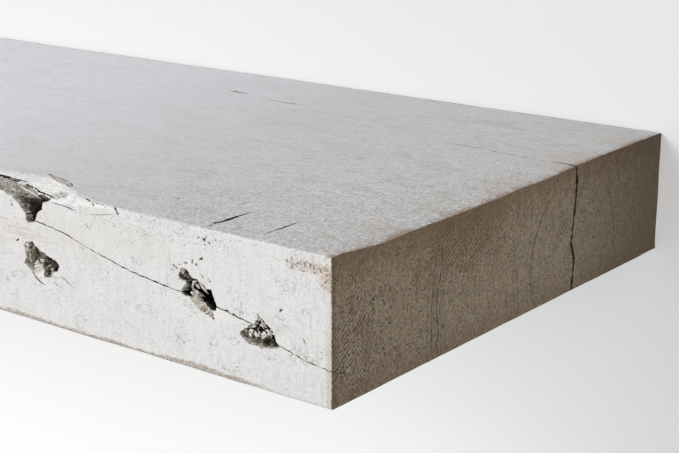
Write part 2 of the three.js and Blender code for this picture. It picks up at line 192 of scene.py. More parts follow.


# Hollows where knots fell out and wood tore away. An outline is of (along, up) on the front, and runs on
# over the arris as (along, height + back). A floor reaches its depth at the run from the outline. It is
# rough by so many millimetres, leans towards the right end, and sinks by a share of its depth, which
# undercuts its lower wall. The shade is painted shade: it darkens the wood as that much more depth would,
# and lightens it below zero. Bare is how free of paint it is, grain how long its mesh's edges are, and
# ragged how much of the noise its outline takes. Past the margin round its outline, or the limit back
# from the front, a place is far outside a hollow.
usual_hollow = dict(lean=0, bare=1, sink=0, grain=0.55, ragged=1)
hollow_margin, hollow_limit, far_outside = 9, 40, -99.0
hollows = {
    "crumbled bowl": dict(
        depth=10, run=3.4, lean=0.35, rough=0.4, shade=-1,
        outline=[
            (48.1, 21.6), (44.6, 22.8), (37.3, 24), (32.5, 25.6), (29.9, 25.2), (29.2, 22.3),
            (26.4, 20.9), (30.6, 19.3), (33.8, 18.5), (36.9, 18.1), (42.8, 18.8), (46.9, 20.8),
        ],
    ),
    "crumbled seat": dict(
        depth=3.4, run=1.3, rough=1.3, shade=9,
        outline=[
            (48.2, 22.2), (44.1, 25.5), (40.4, 27.4), (38.3, 30.8), (37.1, 31), (33.6, 29.1),
            (30.9, 27), (29.9, 23.6), (33, 22), (42, 21.4),
        ],
    ),
    "deep": dict(
        depth=14, run=3.2, lean=0.4, rough=0.8, shade=11, sink=0.36,
        outline=[
            (80.4, 32.2), (79.4, 35), (77.5, 36.8), (76.5, 38.6), (74, 40.2), (71, 40.4), (69.4, 39.1),
            (67.4, 38.4), (66, 37.2), (63.8, 37), (62, 33.8), (60.4, 30.4), (61, 28.8), (63.6, 28.2),
            (65.9, 30), (68, 31.7), (71, 32.8), (75.5, 32.2),
        ],
    ),
    "deep lip": dict(
        depth=2.6, run=5, lean=0.3, rough=0.9, shade=-4,
        outline=[
            (75.5, 32.6), (72.1, 32.4), (69.2, 31.6), (66.2, 29.6), (63.4, 28.4), (62.2, 27),
            (64.4, 25.6), (69.0, 26.8), (72.5, 29.0), (75, 31.2),
        ],
    ),
    "lump seat": dict(
        depth=3.6, run=1.4, lean=0.2, rough=0.8, shade=7,
        outline=[
            (82, 41.2), (79.6, 43.6), (77, 43.4), (74.4, 41.2), (73.9, 38.6), (76, 37.2), (78.3, 38.4),
            (81, 38.8),
        ],
    ),
    "oval": dict(
        depth=9, run=5, lean=0.5, rough=1.7, shade=-2,
        outline=[
            (177.9, 35.3), (176.2, 37), (172.2, 38.1), (168.5, 35.4), (162.3, 33.1), (157.2, 32.1),
            (155.1, 29.5), (156.3, 27.4), (159.6, 26.4), (161.2, 23.6), (165.4, 23), (166.4, 25.4),
            (167.6, 27.6), (169.8, 28.4), (172.4, 26.8), (173.6, 24.2), (178.7, 27.3), (176.8, 31),
        ],
    ),
    "oval gap": dict(
        depth=12, run=1.4, lean=0.6, rough=0.4, shade=30,
        outline=[
            (172.6, 38.0), (168.5, 35.5), (162.3, 33.2), (157.2, 32.2), (155.2, 29.6), (156.3, 27.6),
            (159.0, 27.6), (159.4, 29.6), (163.0, 31.0), (168.2, 33.0), (172.0, 36.0),
        ],
    ),
    "oval ledge": dict(
        depth=1.5, run=2.2, lean=0.2, rough=0.9, bare=0.45, shade=-5,
        outline=[
            (174.2, 24.6), (172.8, 27.4), (170.0, 29.0), (167.0, 28.2), (165.8, 25.6), (166.2, 23.2),
            (169.4, 22.6), (172.6, 23.0),
        ],
    ),
    "torn channel": dict(
        depth=4.2, run=3.0, rough=0.9, bare=0.95, shade=-1, grain=0.9,
        outline=[
            (262, 66), (242, 72), (225, 75), (205.4, 73), (196.9, 69.6), (187, 65.8), (176.6, 62.2),
            (171, 60.6), (172, 57.5), (180.3, 55), (185.3, 57.6), (195.8, 59.7), (215, 60.5), (240, 62),
            (256, 64),
        ],
    ),
    "torn pit": dict(
        depth=14, run=3.4, lean=0.45, rough=0.8, shade=4,
        outline=[
            (184, 60.2), (176.6, 61.6), (170.7, 60.5), (165.6, 60.9), (159, 60.1), (160.6, 58.9),
            (163.7, 57.8), (164.9, 55), (167.9, 52.5), (169.6, 48.2), (173.8, 47.1), (175.8, 48.4),
            (175.6, 51.2), (180.3, 54.8), (184.5, 57.4),
        ],
    ),
    "lifted flake": dict(
        depth=1.2, run=1.1, rough=0.3, bare=0.9, shade=1, grain=0.9,
        outline=[
            (184.8, 86.4), (180, 85.6), (174, 85.4), (168, 83.4), (161, 79), (159.3, 75.8), (166, 79.8),
            (172, 80.8), (178.5, 82.6),
        ],
    ),
    "arris chip": dict(
        depth=0.8, run=0.5, rough=0.3, shade=3,
        outline=[
            (133.4, 63.4), (132.4, 63.5), (131.4, 62.7), (131.6, 62.0), (132.6, 62.3),
        ],
    ),
    "far oval": dict(
        depth=8, run=4.5, lean=0.3, rough=1.4, shade=0, grain=1,
        outline=[
            (347, 42), (342.5, 47.3), (336, 48.2), (330.4, 44.6), (329, 39.4), (332.6, 34.7),
            (339, 33.6), (345.4, 36.6),
        ],
    ),
    "far crumbled": dict(
        depth=8, run=4, lean=0.2, rough=1.2, shade=0, grain=1,
        outline=[
            (484, 20.3), (477, 25.4), (468, 26.8), (460.6, 23), (457.4, 19.2), (463.5, 15), (471, 13.2),
            (479.4, 14.8),
        ],
    ),
    "far deep": dict(
        depth=12, run=5, lean=0.3, rough=1.2, shade=2, grain=1,
        outline=[
            (646, 39), (640, 47.8), (632, 49.6), (624.5, 43), (622.2, 36), (627, 29.6), (635, 26.4),
            (642.4, 31),
        ],
    ),
    "end oval": dict(
        depth=8, run=4.5, lean=0.3, rough=1.3, shade=0, grain=1,
        outline=[
            (802.6, 26), (797, 31.4), (790, 32), (783.4, 28.6), (781.6, 23.8), (786.5, 19), (793.4, 18),
            (800.6, 20.8),
        ],
    ),
}

# Small chips round the knots: along, up, length, thickness and slope in degrees.
small_chips = [
    (83.6, 43.7, 3.0, 0.8, -30), (80.4, 45.0, 2.4, 0.5, 15), (77.4, 46.3, 1.8, 0.5, 10),
    (73.6, 47.6, 2.4, 0.9, 70), (71.4, 46.6, 1.8, 0.6, -60), (68.9, 49.6, 3.0, 0.35, 35),
    (64.6, 41.6, 2.6, 0.4, -52), (68.2, 42.2, 2.0, 0.35, -50), (38.4, 31.8, 1.6, 0.5, -70),
    (26.2, 36.4, 2.2, 0.35, 50), (14.2, 25.6, 3.4, 0.35, -55), (182.6, 37.2, 1.8, 0.4, 40),
    (66.6, 58.4, 1.7, 1.2, 40), (69.7, 58.8, 0.9, 0.7, 0), (63.8, 57.4, 0.9, 0.6, 30),
    (20.2, 59.4, 1.3, 0.5, 60), (185.2, 54.6, 3.2, 0.4, -75), (116.8, 61.2, 1.6, 0.6, -60),
    (47, 61.4, 0.9, 0.6, 0), (146.5, 64.8, 1.4, 0.8, 0), (107.2, 91.3, 1.8, 1.6, 0),
    (55, 72.6, 1.2, 1.6, 0), (68.6, 72.4, 3.2, 2.2, 80), (66.4, 67.6, 1.6, 1.6, 0),
    (55.0, 30.0, 2.0, 0.8, -10), (51.4, 29.2, 1.5, 0.8, 20), (63.4, 26.0, 3.0, 1.2, -42),
    (30.6, 145.0, 3.2, 3.0, 30), (58.5, 224.0, 3.0, 3.6, 0),
]
chip = dict(depth=0.9, run=0.5, rough=0.2, shade=9, grain=0.7, ragged=0.55)
around = np.linspace(0, 2 * math.pi, 9, endpoint=False)
for number, (along, up, long_way, thickness, slope) in enumerate(small_chips):
    lie = math.radians(slope)
    stretch, across = np.cos(around) * long_way / 2, np.sin(around) * thickness / 2
    outline = np.stack([along - stretch * math.cos(lie) - across * math.sin(lie),
                        up + stretch * math.sin(lie) - across * math.cos(lie)], 1)
    hollows[f"chip {number}"] = chip | dict(outline=outline)
for name, hollow in hollows.items():
    hollows[name] = usual_hollow | hollow | dict(outline=np.array(hollow["outline"], float))


def over_arris(places):
    """Height on the front, which runs on over the arris with the distance back along the top."""
    back, up = places[:, 1], places[:, 2]
    return up + np.where(up > timber_height - 0.01, back, 0)


def hollow_reach(places, hollow):
    """How far inside a hollow's outline each place lies, with the outline made ragged by noise."""
    flat = np.stack([places[:, 0], over_arris(places)], 1)
    low, high = hollow["outline"].min(axis=0) - hollow_margin, hollow["outline"].max(axis=0) + hollow_margin
    close = ((flat > low) & (flat < high)).all(axis=1) & (places[:, 1] < hollow_limit)
    reach = np.full(len(places), far_outside)
    near = places[close]
    ragged = 0.38 * ripple(near, 1.9, 3) + 0.3 * ripple(near, 0.8, 4)
    reach[close] = inside(hollow["outline"], *flat[close].T) + hollow["ragged"] * ragged
    return reach


# The broken arris: stations along the front, with how far the break reaches back over the top and how
# far it drops down the front. Elsewhere the arris is only worn.
break_along = [0, 112, 122, 132, 147, 158, 170, 181, 198, 215, 245, 285, 318, 330, 915]
break_reach = [0.5, 0.5, 1.4, 3.0, 6.5, 13, 18.5, 20.4, 18.2, 17, 14, 8, 3, 0.5, 0.5]
break_drop = [0.5, 0.5, 1.2, 2.0, 3.0, 4.2, 4.8, 5.2, 5.5, 6, 5.5, 4, 2, 0.5, 0.5]

# The radii of a worn arris, how deep the waves of a side reach, and the slump of the right end's top
# arris: how far it sinks, how fast that fades along the timber and how far down the end it starts.
least_radius, most_radius = 0.6, 1.6
side_fade = 5
slump_depth, slump_fade, slump_height = 2.0, 9, 12


def soften(across, down, reach, drop, power):
    """Turns the square arris between two sides into a worn one.

    Shares of the distance to the arris are scaled until the sum of their powers is one, which gives a
    round section for a power of two and a flat one for a power of one.
    """
    s = np.clip(1 - across / reach, 0, 1)
    t = np.clip(1 - down / drop, 0, 1)
    near = (s > 0) & (t > 0)
    total = np.where(near, (s**power + t**power) ** (1 / power), 1)
    total = np.maximum(total, 1e-6)
    return (
        np.where(near, reach * (1 - s / total), across),
        np.where(near, drop * (1 - t / total), down),
    )


def worn_radius(places, seed):
    """The radius of a worn arris, which changes slowly along it."""
    share = 0.5 + 0.5 * ripple(places, 9, seed)
    return least_radius + (most_radius - least_radius) * share**2


def worn_sides(places):
    """Places on the plain box moved to its worn and broken arrises and its uneven sides.

    The broken arris is softened first, then the eleven worn ones. Each side sinks by smooth noise, which
    fades out over the depth, and the top arris of the right end slumps. Given back with the places, as
    rows of along, back and up, is how much of the broken arris each one has.
    """
    sizes = timber_length, timber_depth, timber_height
    sides = places.T.copy()
    on_up = over_arris(places)
    line = places * (1, 0, 0)
    reach = np.interp(sides[0], break_along, break_reach)
    drop = np.interp(sides[0], break_along, break_drop)
    torn = ease(reach, 1.5, 6)
    chips = ripple(line, 3.1, 21) + 0.6 * ripple(line, 1.2, 22)
    reach = reach * (1 + 0.09 * chips * torn) + (0.3 + 0.3 * ripple(line, 5, 23)) * (1 - torn)
    drop = drop * (1 + 0.12 * ripple(line, 4.2, 24)) + (0.3 + 0.3 * ripple(line, 6, 25)) * (1 - torn)
    on_break = torn * ease(on_up, timber_height - drop - 0.6, timber_height - 0.4 * drop)
    on_break *= 1 - ease(on_up, timber_height + reach - 1, timber_height + reach + 0.6)
    sides[1], top = soften(sides[1], timber_height - sides[2], reach, drop, 2 - 0.75 * torn)
    sides[2] = timber_height - top

    def wear(one, far_one, two, far_two, seed):
        """Softens the arris between two sides, each an axis and whether it is the axis's far side."""
        pair = ((one, far_one), (two, far_two))
        near = [sizes[axis] - sides[axis] if far else sides[axis] for axis, far in pair]
        radius = worn_radius(places, seed)
        for (axis, far), value in zip(pair, soften(*near, radius, radius, 2)):
            sides[axis] = sizes[axis] - value if far else value

    for far_along in (0, 1):
        for far_back in (0, 1):
            wear(0, far_along, 1, far_back, 31 + far_along + 2 * far_back)
        for far_up in (0, 1):
            wear(0, far_along, 2, far_up, 35 + far_along + 2 * far_up)
    for far_back, far_up in ((0, 0), (1, 0), (1, 1)):
        wear(1, far_back, 2, far_up, 39 + far_back + 2 * far_up)
    waves = 0.2 * (1 + ripple(places, (60, 30, 30), 5)) + 0.07 * (1 + ripple(places, (14, 9, 9), 6))
    for value, size in zip(sides, sizes):
        value += waves * np.exp(-value / side_fade)
        value -= waves * np.exp(-(size - value) / side_fade)
    along, back, up = sides
    slump = slump_depth * ease(back, 4, 30) * ease(back, 230, 110)
    slump *= 1 + 0.25 * ripple(places, (60, 17, 30), 14)
    up -= slump * np.exp(-along / slump_fade) * ease(up, timber_height - slump_height, timber_height)
    return sides, on_break


def timber_surface(places):
    """Moves the points of the plain box to the worn and torn surface of the timber.

    Where hollows overlap the deepest one holds. Given back with the points are how bare of paint each one
    is and how much painted shade darkens its wood, which grows with depth and towards the side that a
    hollow leans to.
    """
    sides, on_break = worn_sides(places)
    along, back, up = sides
    fibres = np.stack([places[:, 0], over_arris(places) - 0.3 * places[:, 0]], 1)
    ridges = ripple(fibres, (16, 1.5), 11) + 0.6 * ripple(fibres, (7, 0.8), 12)
    lumps = ripple(places, (3.2, 3.2, 2.4), 7) + 0.6 * ripple(places, (1.4, 1.4, 1.0), 8)
    push = on_break * (0.2 + 0.10 * ridges + 0.3 * ripple(places, (18, 6, 6), 13))
    bare, gloom, lean, sink = np.zeros((4, len(places)))
    for hollow in hollows.values():
        deep = hollow_reach(places, hollow)
        share = np.clip(deep / hollow["run"], 0, 1)
        bowl = np.sqrt(np.clip(1 - (1 - share) ** 2, 0, 1))
        rough = hollow["rough"] * (lumps + 0.5 * ridges * on_break) * ease(share, 0, 0.6)
        own = hollow["depth"] * bowl + rough
        deeper = own > push
        left, right = hollow["outline"][:, 0].max(), hollow["outline"][:, 0].min()
        # Painted shade, which grows towards the side that the hollow leans to.
        shaded = ease(along, left, right) * hollow["lean"] * 0.7 - 0.1
        lean = np.where(deeper, hollow["lean"] * share, lean)
        sink = np.where(deeper, hollow["sink"] * own, sink)
        gloom = np.where(deeper, (own + hollow["shade"]) * gloom_depth + shaded, gloom)
        push = np.maximum(push, own)
        bare = np.maximum(bare, hollow["bare"] * ease(deep, -0.3, 0.05))
    push = np.maximum(push, 0)
    back += push * (1 - 0.65 * on_break)
    up -= push * 0.9 * on_break + sink
    along -= push * lean
    return sides.T, bare, gloom


# The mesh's edges, in millimetres: on the sides out of view, on the ones in view, by the slumped arris,
# by a worn arris, on the break near and far, and round a hollow. The view ends at the shown length, and
# the break's fine mesh lies between two places along, so far back and so far down the front.
hidden_edge, shown_edge, slump_edge, arris_edge = 14.0, 6.5, 3.2, 1.6
near_break_edge, far_break_edge, rim_edge = 1.1, 1.9, 1.9
shown_length, slump_length, arris_reach = 340, 26, 2.5
break_start, break_middle, break_end, break_back, break_down = 108, 225, 335, 24, 9
rim_reach, floor_reach = 6, 1.3
split_rounds = 6


def timber_grain(places):
    """The edge length wanted at each place: fine in and around the hollows and on the broken arris."""
    along, back, up = places.T
    wanted = np.full(len(places), hidden_edge)
    shown = along < shown_length
    wanted[shown & ((back < 1) | (up > timber_height - 1) | (along < 1))] = shown_edge
    wanted[(along < slump_length) & (up > timber_height - 3)] = slump_edge
    arris = np.minimum(np.hypot(back, timber_height - up), np.hypot(along, back))
    arris = np.minimum(arris, np.hypot(along, timber_height - up))
    wanted = np.where((arris < arris_reach) & shown, arris_edge, wanted)
    broken = (along > break_start) & (along < break_end)
    broken &= (back < break_back) & (up > timber_height - break_down)
    break_edge = np.where(along < break_middle, near_break_edge, far_break_edge)
    wanted = np.where(broken, np.minimum(wanted, break_edge), wanted)
    for hollow in hollows.values():
        deep = hollow_reach(places, hollow)
        wanted = np.where(deep > -rim_reach, np.minimum(wanted, rim_edge), wanted)
        wanted = np.where(deep > -floor_reach, np.minimum(wanted, hollow["grain"]), wanted)
    return wanted


def timber_place(places):
    """From millimetres along, back and up to metres in the frame."""
    along, back, up = places.T * MM
    return np.stack([timber_high[0] - along, timber_low[1] + back, timber_low[2] + up], 1)


def new_piece(name, points, faces):
    """An object at the origin with the given points and faces, smoothly shaded."""
    mesh = bpy.data.meshes.new(name)
    mesh.from_pydata(np.asarray(points).tolist(), [], faces)
    mesh.polygons.foreach_set("use_smooth", np.ones(len(mesh.polygons), bool))
    mesh.update()
    piece = bpy.data.objects.new(name, mesh)
    bpy.context.scene.collection.objects.link(piece)
    return piece


skin_points, skin_triangles = box_skin((timber_length, timber_depth, timber_height))
skin_points, skin_triangles = refine(skin_points, skin_triangles, timber_grain, split_rounds)
timber_points, timber_bare, timber_gloom = timber_surface(skin_points)
timber = new_piece("timber", timber_place(timber_points), skin_triangles[:, ::-1].tolist())
for name, values in (("bare", timber_bare), ("gloom", timber_gloom), ("kept", np.ones(len(timber_bare)))):
    layer = timber.data.attributes.new(name, "FLOAT", "POINT")
    layer.data.foreach_set("value", values.astype(np.float32))

# The splits, nicks and bored holes.
# As the plank dried it split from knot to knot and down through the heart at both ends. A saw nicked its
# top. Its back is routed out for the wall bar and drilled for the rods. Each is cut out of the timber.
# The splits' walls are darkened as painted shade; the routed and bored wood is fresh and paler.
split_painted_shade = bpy.data.materials.new("split_painted_shade")
fresh_cut = bpy.data.materials.new("fresh_cut")
past_surface = 2.5


def closed_skin(name, *bundles, loop=False):
    """One mesh of closed skins, each through equal rings of points.

    The first and last ring have flat caps, or in a loop they join each other.
    """
    points, faces, count = [], [], 0
    for rings in bundles:
        rings = np.asarray(rings, float)
        number = np.arange(rings.shape[0] * rings.shape[1]).reshape(rings.shape[:2]) + count
        near = number if loop else number[:-1]
        far = np.roll(number, -1, axis=0) if loop else number[1:]
        walls = np.stack([near, np.roll(near, -1, axis=1), np.roll(far, -1, axis=1), far], -1)
        faces += walls.reshape(-1, 4).tolist()
        if not loop:
            faces += [number[0, ::-1].tolist(), number[-1].tolist()]
        points.append(rings.reshape(-1, 3))
        count += number.size
    piece = new_piece(name, np.concatenate(points), faces)
    shell = bmesh.new()
    shell.from_mesh(piece.data)
    bmesh.ops.recalc_face_normals(shell, faces=shell.faces)
    shell.to_mesh(piece.data)
    shell.free()
    return piece


def walk(corners, step):
    """Evenly spaced places along a line through the given corners."""
    corners = np.asarray(corners, float)
    reach = np.concatenate([[0], np.cumsum(np.linalg.norm(np.diff(corners, axis=0), axis=1))])
    at = np.linspace(0, reach[-1], max(3, int(reach[-1] / step)))
    return np.stack([np.interp(at, reach, corners[:, axis]) for axis in range(3)], 1), at


def on_timber(*corners):
    """Places on the worn surface, from (along, up) on the front with up running on over the arris."""
    along, on_up = np.array(corners, float).T
    over_top, up = np.maximum(on_up - timber_height, 0), np.minimum(on_up, timber_height)
    return timber_surface(np.stack([along, over_top, up], 1))[0]


def on_face(face, corners):
    """Places on a face of the timber, and which way is out of it.

    Corners are (along, up) on the front, (along, back) on the top and (back, up) on an end. On the worn
    arris they are (along, up) with up running on over the top.
    """
    if face == "arris":
        return on_timber(*corners), np.array((0, -0.6, 0.8))
    one, two = np.array(corners, float).T
    zero = np.zeros(len(one))
    places, out = {
        "front": ((one, zero, two), (0, -1, 0)),
        "top": ((one, two, zero + timber_height), (0, 0, 1)),
        "end": ((zero, one, two), (-1, 0, 0)),
        "far end": ((zero + timber_length, one, two), (1, 0, 0)),
    }[face]
    return np.stack(places, 1), np.array(out, float)


def split_cutter(name, face, width, depth, wobble, taper, seed, corners, swell=None):
    """A wandering V groove: three points a step, one as deep as the split and two past the surface.

    The swell is its width at even places along it, as shares of the width. Without one, noise gives it.
    """
    corners, out = on_face(face, corners)
    path, at = walk(corners, split_step)
    across = np.cross(np.gradient(path, axis=0), out)
    across /= np.linalg.norm(across, axis=1)[:, None]
    wander = 0.5 * ripple(path, 7, seed) + 0.6 * ripple(path, 1.6, seed + 1)
    path = path + across * (wobble * wander)[:, None]
    fade = np.clip(np.minimum(at, at[-1] - at) / taper, 0.06, 1) ** 0.7 if taper else np.ones(len(path))
    slow = 1 + 0.65 * ripple(path, 13, seed + 2)
    if swell:
        slow = np.interp(at, np.linspace(0, at[-1], len(swell)), swell)
    half = width / 2 * np.clip(slow + 0.75 * ripple(path, 1.9, seed + 3), 0.12, 2.2) * fade
    deep = depth * fade
    side = across * (half * (1 + past_surface / deep))[:, None]
    proud = out * past_surface
    rings = np.stack([path - out * deep[:, None], path + side + proud, path - side + proud], axis=1)
    piece = closed_skin(name, timber_place(rings.reshape(-1, 3)).reshape(rings.shape))
    piece.data.materials.append(split_painted_shade)
    return piece


# Each split and nick: its face, width, depth, wobble, taper, seed of its noise, and corners. A wobble is
# how far it strays to each side, and over a taper it narrows to nothing at both ends.
split_step = 0.7
splits = {
    "long_split": ("front", 0.40, 5, 0.45, 1.5, 51, [
        (169.5, 48.6), (151.3, 46.1), (132.3, 41.1), (110, 36.5), (92.1, 34.2), (80.8, 33.1),
        (60.2, 30.7), (41.5, 27.3), (26.8, 21.3), (14.6, 18.2), (-1, 16.0)]),
    "corner_split": ("end", 0.5, 3, 0.35, 3, 52, [(-1, 16), (3, 15.2), (9.7, 13.1)]),
    "end_split": ("end", 1.7, 19, 0.25, 0, 53, [
        (189, -2), (188.7, 0), (189.5, 8.3), (190, 16.1), (186.6, 24.8), (187.3, 30.2),
        (188.7, 38.8), (189.7, 47.4), (189.8, 56.2), (188.9, 62.3), (188.9, 66)]),
    "top_check": ("top", 0.65, 2.2, 0.4, 34, 54, [
        (3, 187.5), (9, 186.2), (22, 186.5), (38, 188.5), (60, 190.5), (88, 193)]),
    "torn_split": ("front", 0.45, 2.5, 0.35, 6, 55, [(160, 59.2), (148, 58.5), (139.5, 57)]),
    "torn_gap": ("arris", 0.9, 4.5, 0.5, 10, 64, [
        (245, 73), (225, 75.3), (205.5, 73.4), (195.5, 70.2), (186.5, 68.4),
        (179, 63.6), (173, 61.9), (168.5, 61.6), (164, 61.4), (157, 60.4)]),
    "torn_sliver": ("arris", 1.3, 3.4, 0.3, 6, 70, [
        (210, 74.2), (203, 73.6), (196, 72.6), (189, 72.6), (186, 71.6)]),
    "arris_crack": ("arris", 0.5, 1.6, 0.15, 3, 65, [(140.5, 67.5), (135, 65), (130.5, 64.4), (125, 64)]),
    "flake_gap": ("arris", 0.7, 1.4, 0.2, 3, 72, [(186.2, 87.2), (183.6, 86.5), (180.5, 86.0)]),
    "flake_end": ("arris", 0.5, 1.2, 0.2, 2, 73, [
        (164.6, 81.8), (162.0, 80.2), (160.4, 78.2), (159.4, 76.4)]),
    "arris_line": ("front", 0.3, 0.9, 0.2, 5, 66, [(135.4, 57.4), (127.3, 58.5), (115.3, 61)]),
    "nick_1": ("top", 1.7, 3.2, 0.5, 14, 56, [(67.7, 1), (67.4, 12), (67.5, 33.5)]),
    "nick_2": ("top", 1.0, 1.6, 0.2, 3, 57, [(79.3, 37), (78.9, 44.5)]),
    "nick_3": ("top", 1.3, 2.6, 0.3, 12, 58, [(41.6, 6), (41.4, 18), (41.5, 32)]),
    "nick_4": ("front", 1.0, 1.8, 0.1, 2, 61, [(119.6, 63.4), (117.6, 62.7), (116.3, 61.7), (115, 60.3)]),
    "back_nick_1": ("top", 1.6, 1.8, 0.5, 6, 62, [(258.6, 229), (240, 227.9)]),
    "back_nick_2": ("top", 1.4, 1.8, 0.5, 12, 63, [(230, 223.4), (222, 222), (206, 221), (189, 221.2)]),
    "oval_crack_1": ("front", 1.0, 2.6, 0.2, 2, 67, [
        (174.6, 24.6), (173.1, 23.2), (170.4, 21.6), (167.5, 19.8)]),
    "oval_crack_4": ("front", 0.5, 1.4, 0.2, 3, 71, [
        (172.8, 22.4), (171.8, 21.7), (168, 20.0), (164.3, 18.7)]),
    "oval_crack_2": ("front", 0.3, 1, 0.3, 3, 68, [(155.6, 26.0), (150.6, 23.6), (146, 21.4)]),
    "oval_crack_3": ("front", 0.3, 1, 0.2, 3, 69, [(161, 22.0), (156, 20.4), (152, 19.6)]),
    "far_end_split": ("far end", 0.9, 14, 0.4, 0, 59, [
        (187, -2), (189, 14), (186, 30), (190, 46), (188, 66)]),
    "middle_split": ("front", 0.5, 4, 0.35, 8, 60, [
        (610, 36), (560, 33), (520, 27), (480, 22), (430, 19), (395, 18)]),
}
swells = {"long_split": (2.0, 1.0, 1.2, 0.6, 0.7, 1.4, 1.7, 0.9, 1.1, 1.3, 1.1, 1.2, 1.0, 0.9, 0.9)}
cutters = [split_cutter(name, *split, swell=swells.get(name)) for name, split in splits.items()]

# The recess for the bar and the bores for the rods. Each bore ends in the cone that the drill's point cut.
_, bar_high = (np.array(corner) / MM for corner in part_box("wall_bar"))
recess_end_gap, recess_side_gap, recess_corner, recess_depth = 6.0, 3.0, 6.35, 15.55
rod_names = [f"rod_{number}" for number in range(1, 5)]
rod_boxes = [[np.array(corner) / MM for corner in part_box(name)] for name in rod_names]
rod_radius = (rod_boxes[0][1][0] - rod_boxes[0][0][0]) / 2
rod_hole_gap, rod_end_gap, drill_point = 0.4, 6.0, 31.0


def rounded_outline(half_x, half_z, corner, steps=8):
    """A rectangle with round corners, as points of (x, z) round it."""
    turn = np.linspace(0, math.pi / 2, steps)
    arcs = [
        np.stack([sx * (half_x - corner) + corner * np.cos(turn + start),
                  sz * (half_z - corner) + corner * np.sin(turn + start)], 1)
        for start, sx, sz in ((0, 1, 1), (math.pi / 2, -1, 1), (math.pi, -1, -1), (1.5 * math.pi, 1, -1))
    ]
    return np.concatenate(arcs)


def along_y(outline, stations):
    """Rings of an outline of (x, z) at the given places on Y."""
    return np.stack([np.insert(outline, 1, place, axis=1) for place in stations])


recess_outline = rounded_outline(bar_high[0] + recess_end_gap, bar_high[2] + recess_side_gap, recess_corner)
recess = closed_skin("recess", along_y(recess_outline, (past_surface, -recess_depth)) * MM)
turn = np.linspace(0, 2 * math.pi, 64, endpoint=False)
circle = np.stack([np.cos(turn), np.sin(turn)], 1)
hole = rod_radius + rod_hole_gap
bore_rings = []
for low, high in rod_boxes:
    floor = low[1] - rod_end_gap
    tip = floor - hole * math.tan(math.radians(drill_point))
    middle = np.array([(low[0] + high[0]) / 2, 0])
    rings = [along_y(circle * radius + middle, (place,))
             for radius, place in ((hole, past_surface), (hole, floor), (0.05, tip))]
    bore_rings.append(np.concatenate(rings) * MM)
bores = closed_skin("bores", *bore_rings)
for piece in (recess, bores):
    piece.data.materials.append(fresh_cut)

for cutter in (recess, bores, *cutters):
    cut = timber.modifiers.new(cutter.name, "BOOLEAN")
    cut.operation = "DIFFERENCE"
    cut.solver = "MANIFOLD"
    cut.material_mode = "TRANSFER"
    cut.object = cutter

whitewashed = bpy.data.materials.new("whitewashed_timber")
timber.data.materials.append(whitewashed)
bpy.context.view_layer.update()
depsgraph = bpy.context.evaluated_depsgraph_get()
whole = timber.data
timber.data = bpy.data.meshes.new_from_object(timber.evaluated_get(depsgraph))
timber.modifiers.clear()
bpy.data.meshes.remove(whole)
timber.data.name = "timber"
for cutter in (recess, bores, *cutters):
    cutter_mesh = cutter.data
    bpy.data.objects.remove(cutter)
    bpy.data.meshes.remove(cutter_mesh)


def values_of(mesh, name):
    """The values that a mesh keeps on its points under a name."""
    values = np.zeros(len(mesh.vertices), np.float32)
    mesh.attributes[name].data.foreach_get("value", values)
    return values


# A point made by a cut takes the mean bareness and painted shade of its neighbours on the old surface.
kept = values_of(timber.data, "kept") > 0.5
ends = np.zeros(len(timber.data.edges) * 2, np.int32)
timber.data.edges.foreach_get("vertices", ends)
ends = ends.reshape(-1, 2)
ends = np.concatenate([ends, ends[:, ::-1]])
for name in ("bare", "gloom"):
    values = values_of(timber.data, name)
    known = kept.copy()
    for _ in range(3):
        useful = known[ends[:, 0]] & ~known[ends[:, 1]]
        total = np.bincount(ends[useful, 1], values[ends[useful, 0]], len(values))
        count = np.bincount(ends[useful, 1], minlength=len(values))
        fresh = count > 0
        values[fresh] = total[fresh] / count[fresh]
        known |= fresh
    timber.data.attributes[name].data.foreach_set("value", values)
timber.data.polygons.foreach_set("use_smooth", np.ones(len(timber.data.polygons), bool))
timber.data.set_sharp_from_angle(angle=math.radians(38))
timber.data.update()
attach(timber, "board")
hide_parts("shelf_board")

# The timber's finish.
# Thin white paint, rubbed back over rough-sawn wood: whiter on the front and greyer on the top, partly as
# painted light and shade, and bare in the hollows, along worn arrises and on the ends, where the growth
# rings show.


class Field:
    """A value or colour that varies over a surface. Sums and products of fields add Math nodes."""

    def __init__(self, tree, socket):
        self.tree = tree
        self.socket = socket

    def math(self, operation, *others):
        """A Math node's operation on this value and the others."""
        node = self.tree.nodes.new("ShaderNodeMath")
        node.operation = operation
        for socket, value in zip(node.inputs, (self, *others)):
            plug(self.tree, socket, value)
        return Field(self.tree, node.outputs[0])

    def __add__(self, other):
        return self.math("ADD", other)

    def __sub__(self, other):
        return self.math("SUBTRACT", other)

    def __mul__(self, other):
        return self.math("MULTIPLY", other)

    def most(self, *others):
        """The largest of this value and the others."""
        largest = self
        for other in others:
            largest = largest.math("MAXIMUM", other)
        return largest

    def rest(self):
        """What this value leaves of one."""
        return self * -1 + 1

    def stray(self, wander, reach):
        """The value, moved up and down by a noise field over the given reach."""
        return self + (wander - 0.5) * reach

    def rise(self, low, high):
        """0 at low and 1 at high, eased between."""
        node = self.tree.nodes.new("ShaderNodeMapRange")
        node.interpolation_type = "SMOOTHSTEP"
        for socket, value in zip(node.inputs, (self, low, high)):
            plug(self.tree, socket, value)
        return Field(self.tree, node.outputs[0])


def plug(tree, socket, value):
    """Links a field to a socket, or sets the socket to a plain value."""
    if isinstance(value, Field):
        tree.links.new(value.socket, socket)
    else:
        socket.default_value = value


